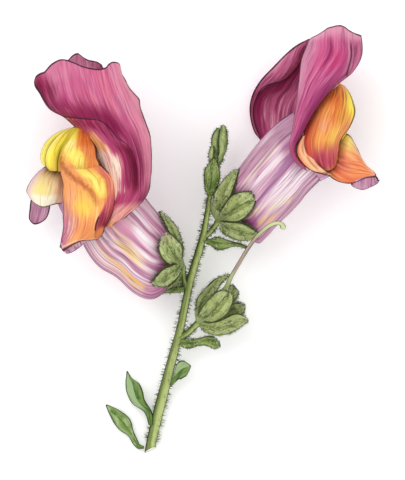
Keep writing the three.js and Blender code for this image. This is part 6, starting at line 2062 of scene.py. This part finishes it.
def right_palate():
    body = Body("right_palate")
    slab(body, veined(net(RIGHT_PALATE, 80, 64), 9, 0.10), "right_palate", flip=True)
    grid = veined(net(RIGHT_FAR_HUMP, 50, 40), 5, 0.06)
    slab(body, grid, "right_far_hump", flip=True, spin=2)
    body.finish()


def right_lower_lip():
    body = Body("right_lower_lip")
    grid = veined(net(RIGHT_NEAR_LOBE, 80, 60), 8, 0.08, free=("end", "right"))
    slab(body, grid, "right_near_lobe", ("end", "right", "left"))
    grid = trimmed(net(RIGHT_CURL, 30, 50), "end", CURL_END, reach=1.4)
    slab(body, grid, "right_curl", ("end", "left", "right"), True, spin=3)
    slab(body, net(RIGHT_MIDDLE_LOBE, 40, 36), "right_middle_lobe", ("end",), spin=5)
    slab(body, net(RIGHT_FAR_LOBE, 40, 36), "right_far_lobe", ("end",), spin=7)
    slab(body, net(stretched(RIGHT_APRON, 0.2), 40, 40), "right_apron", spin=9)
    slab(body, net(RIGHT_STRIP, 90, 20), "right_throat", ("left",), True, spin=11)
    body.finish()


# ---- inside the blooms ----
def pistil_piece(node, points, paint):
    body = Body(node)
    rod(body, points, 110, 18, paint, ribs(2, 0.06))
    body.finish()


def stamen_piece(node, threads, stations):
    """A ring with four threads, each with the two sacs of its anther at its end."""
    body = Body(node)
    collar(body, stations)
    for path in threads:
        rod(body, [[*point, STAMEN] for point in path], 40, 12, "stamen")
        end, before = np.array(path[-1], float), np.array(path[-2], float)
        way = (end - before) * SAC_STEP
        for side in (-1, 1):
            shift = np.array([-way[1], way[0], 0]) * side * SAC_SIDE
            rod(body, [[*(end + way * k + shift), r] for k, r in SAC], 14, 12, "stamen")
    body.finish()


# ---- camera, floor and light ----
def add_object(name, data, place=(0, 0, 0), turn=(0, 0, 0)):
    """A camera, lamp or mesh in the scene, at a place in metres."""
    made = bpy.data.objects.new(name, data)
    made.location = place
    made.rotation_euler = turn
    bpy.context.scene.collection.objects.link(made)
    return made


def add_camera():
    data = bpy.data.cameras.new("camera")
    x, y, z = flat(VIEW_AT) / 1000
    bpy.context.scene.camera = add_object("camera", data, (x, y, z + VIEW_HEIGHT / 1000))
    data.sensor_width = SENSOR
    data.lens = SENSOR * VIEW_HEIGHT / VIEW_TALL
    data.clip_start, data.clip_end = 0.1, 20


def add_floor():
    mesh = bpy.data.meshes.new("floor")
    corners = [(x * FLOOR_HALF, y * FLOOR_HALF, 0) for x, y in ((-1, -1), (1, -1), (1, 1), (-1, 1))]
    mesh.from_pydata(corners, [], [(0, 1, 2, 3)])
    paint = bpy.data.materials.new("floor_white")
    paint.use_nodes = True
    inputs = paint.node_tree.nodes["Principled BSDF"].inputs
    inputs["Base Color"].default_value = (0.97, 0.97, 0.97, 1)
    inputs["Roughness"].default_value = 0.9
    inputs["Specular IOR Level"].default_value = 0.1
    # The floor glows faintly: painted light that pales the soft shadows round the plant.
    inputs["Emission Color"].default_value = (1, 1, 1, 1)
    inputs["Emission Strength"].default_value = FLOOR_GLOW
    mesh.materials.append(paint)
    floor = add_object("floor", mesh)


def add_lights():
    bpy.context.scene.view_settings.view_transform = "Standard"
    world = bpy.data.worlds.new("studio")
    world.use_nodes = True
    sky = world.node_tree.nodes["Background"].inputs
    sky[0].default_value = (1, 1, 1, 1)
    sky[1].default_value = DAYLIGHT
    bpy.context.scene.world = world
    for name, (place, size, power) in LAMPS.items():
        light = bpy.data.lights.new(name, "AREA")
        light.size = size
        light.energy = power
        aim = Vector(LAMP_AIM) - Vector(place)
        add_object(name, light, place, aim.to_track_quat("-Z", "Y").to_euler())


add_camera()
add_floor()
add_lights()
mix_paints()
# The order of the pieces from here on is the order of the random draws.
stem_piece()
bud_piece()
bract_piece("bud_bract", BUD_BRACT, fringe=150, length=0.6, down=60)
bract_piece("right_bract", RIGHT_BRACT, fringe=120, length=0.6, down=40)
bract_piece("left_bract", LEFT_BRACT, fringe=60, length=0.7, down=16)
bract_piece("spent_bract", SPENT_BRACT, fringe=130, length=0.6, down=40)
small_leaf()
long_leaf("foot_leaf", FOOT_LEAF, "leaf")
long_leaf("loose_leaf", LOOSE_LEAF, "loose")
calyx_piece("left_calyx", LEFT_CUP_POLE, LEFT_CUP, LEFT_SEPALS, brown=1)
calyx_piece("right_calyx", RIGHT_CUP_POLE, RIGHT_CUP, RIGHT_SEPALS)
calyx_piece("spent_calyx", SPENT_CUP_POLE, SPENT_CUP, SPENT_SEPALS)
pistil_piece("spent_pistil", SPENT_PISTIL, "spent_style")
pistil_piece("left_pistil", LEFT_PISTIL, "pistil")
pistil_piece("right_pistil", RIGHT_PISTIL, "pistil")
stamen_piece("left_stamens", LEFT_STAMENS, LEFT_COLLAR)
stamen_piece("right_stamens", RIGHT_STAMENS, RIGHT_COLLAR)
tube_piece("left_tube", LEFT_TUBE_POLE, LEFT_TUBE, lined=True)
tube_piece("right_tube", RIGHT_TUBE_POLE, RIGHT_TUBE, lined=False)
left_upper_lip()
left_palate()
left_lower_lip()
right_upper_lip()
right_palate()
right_lower_lip()
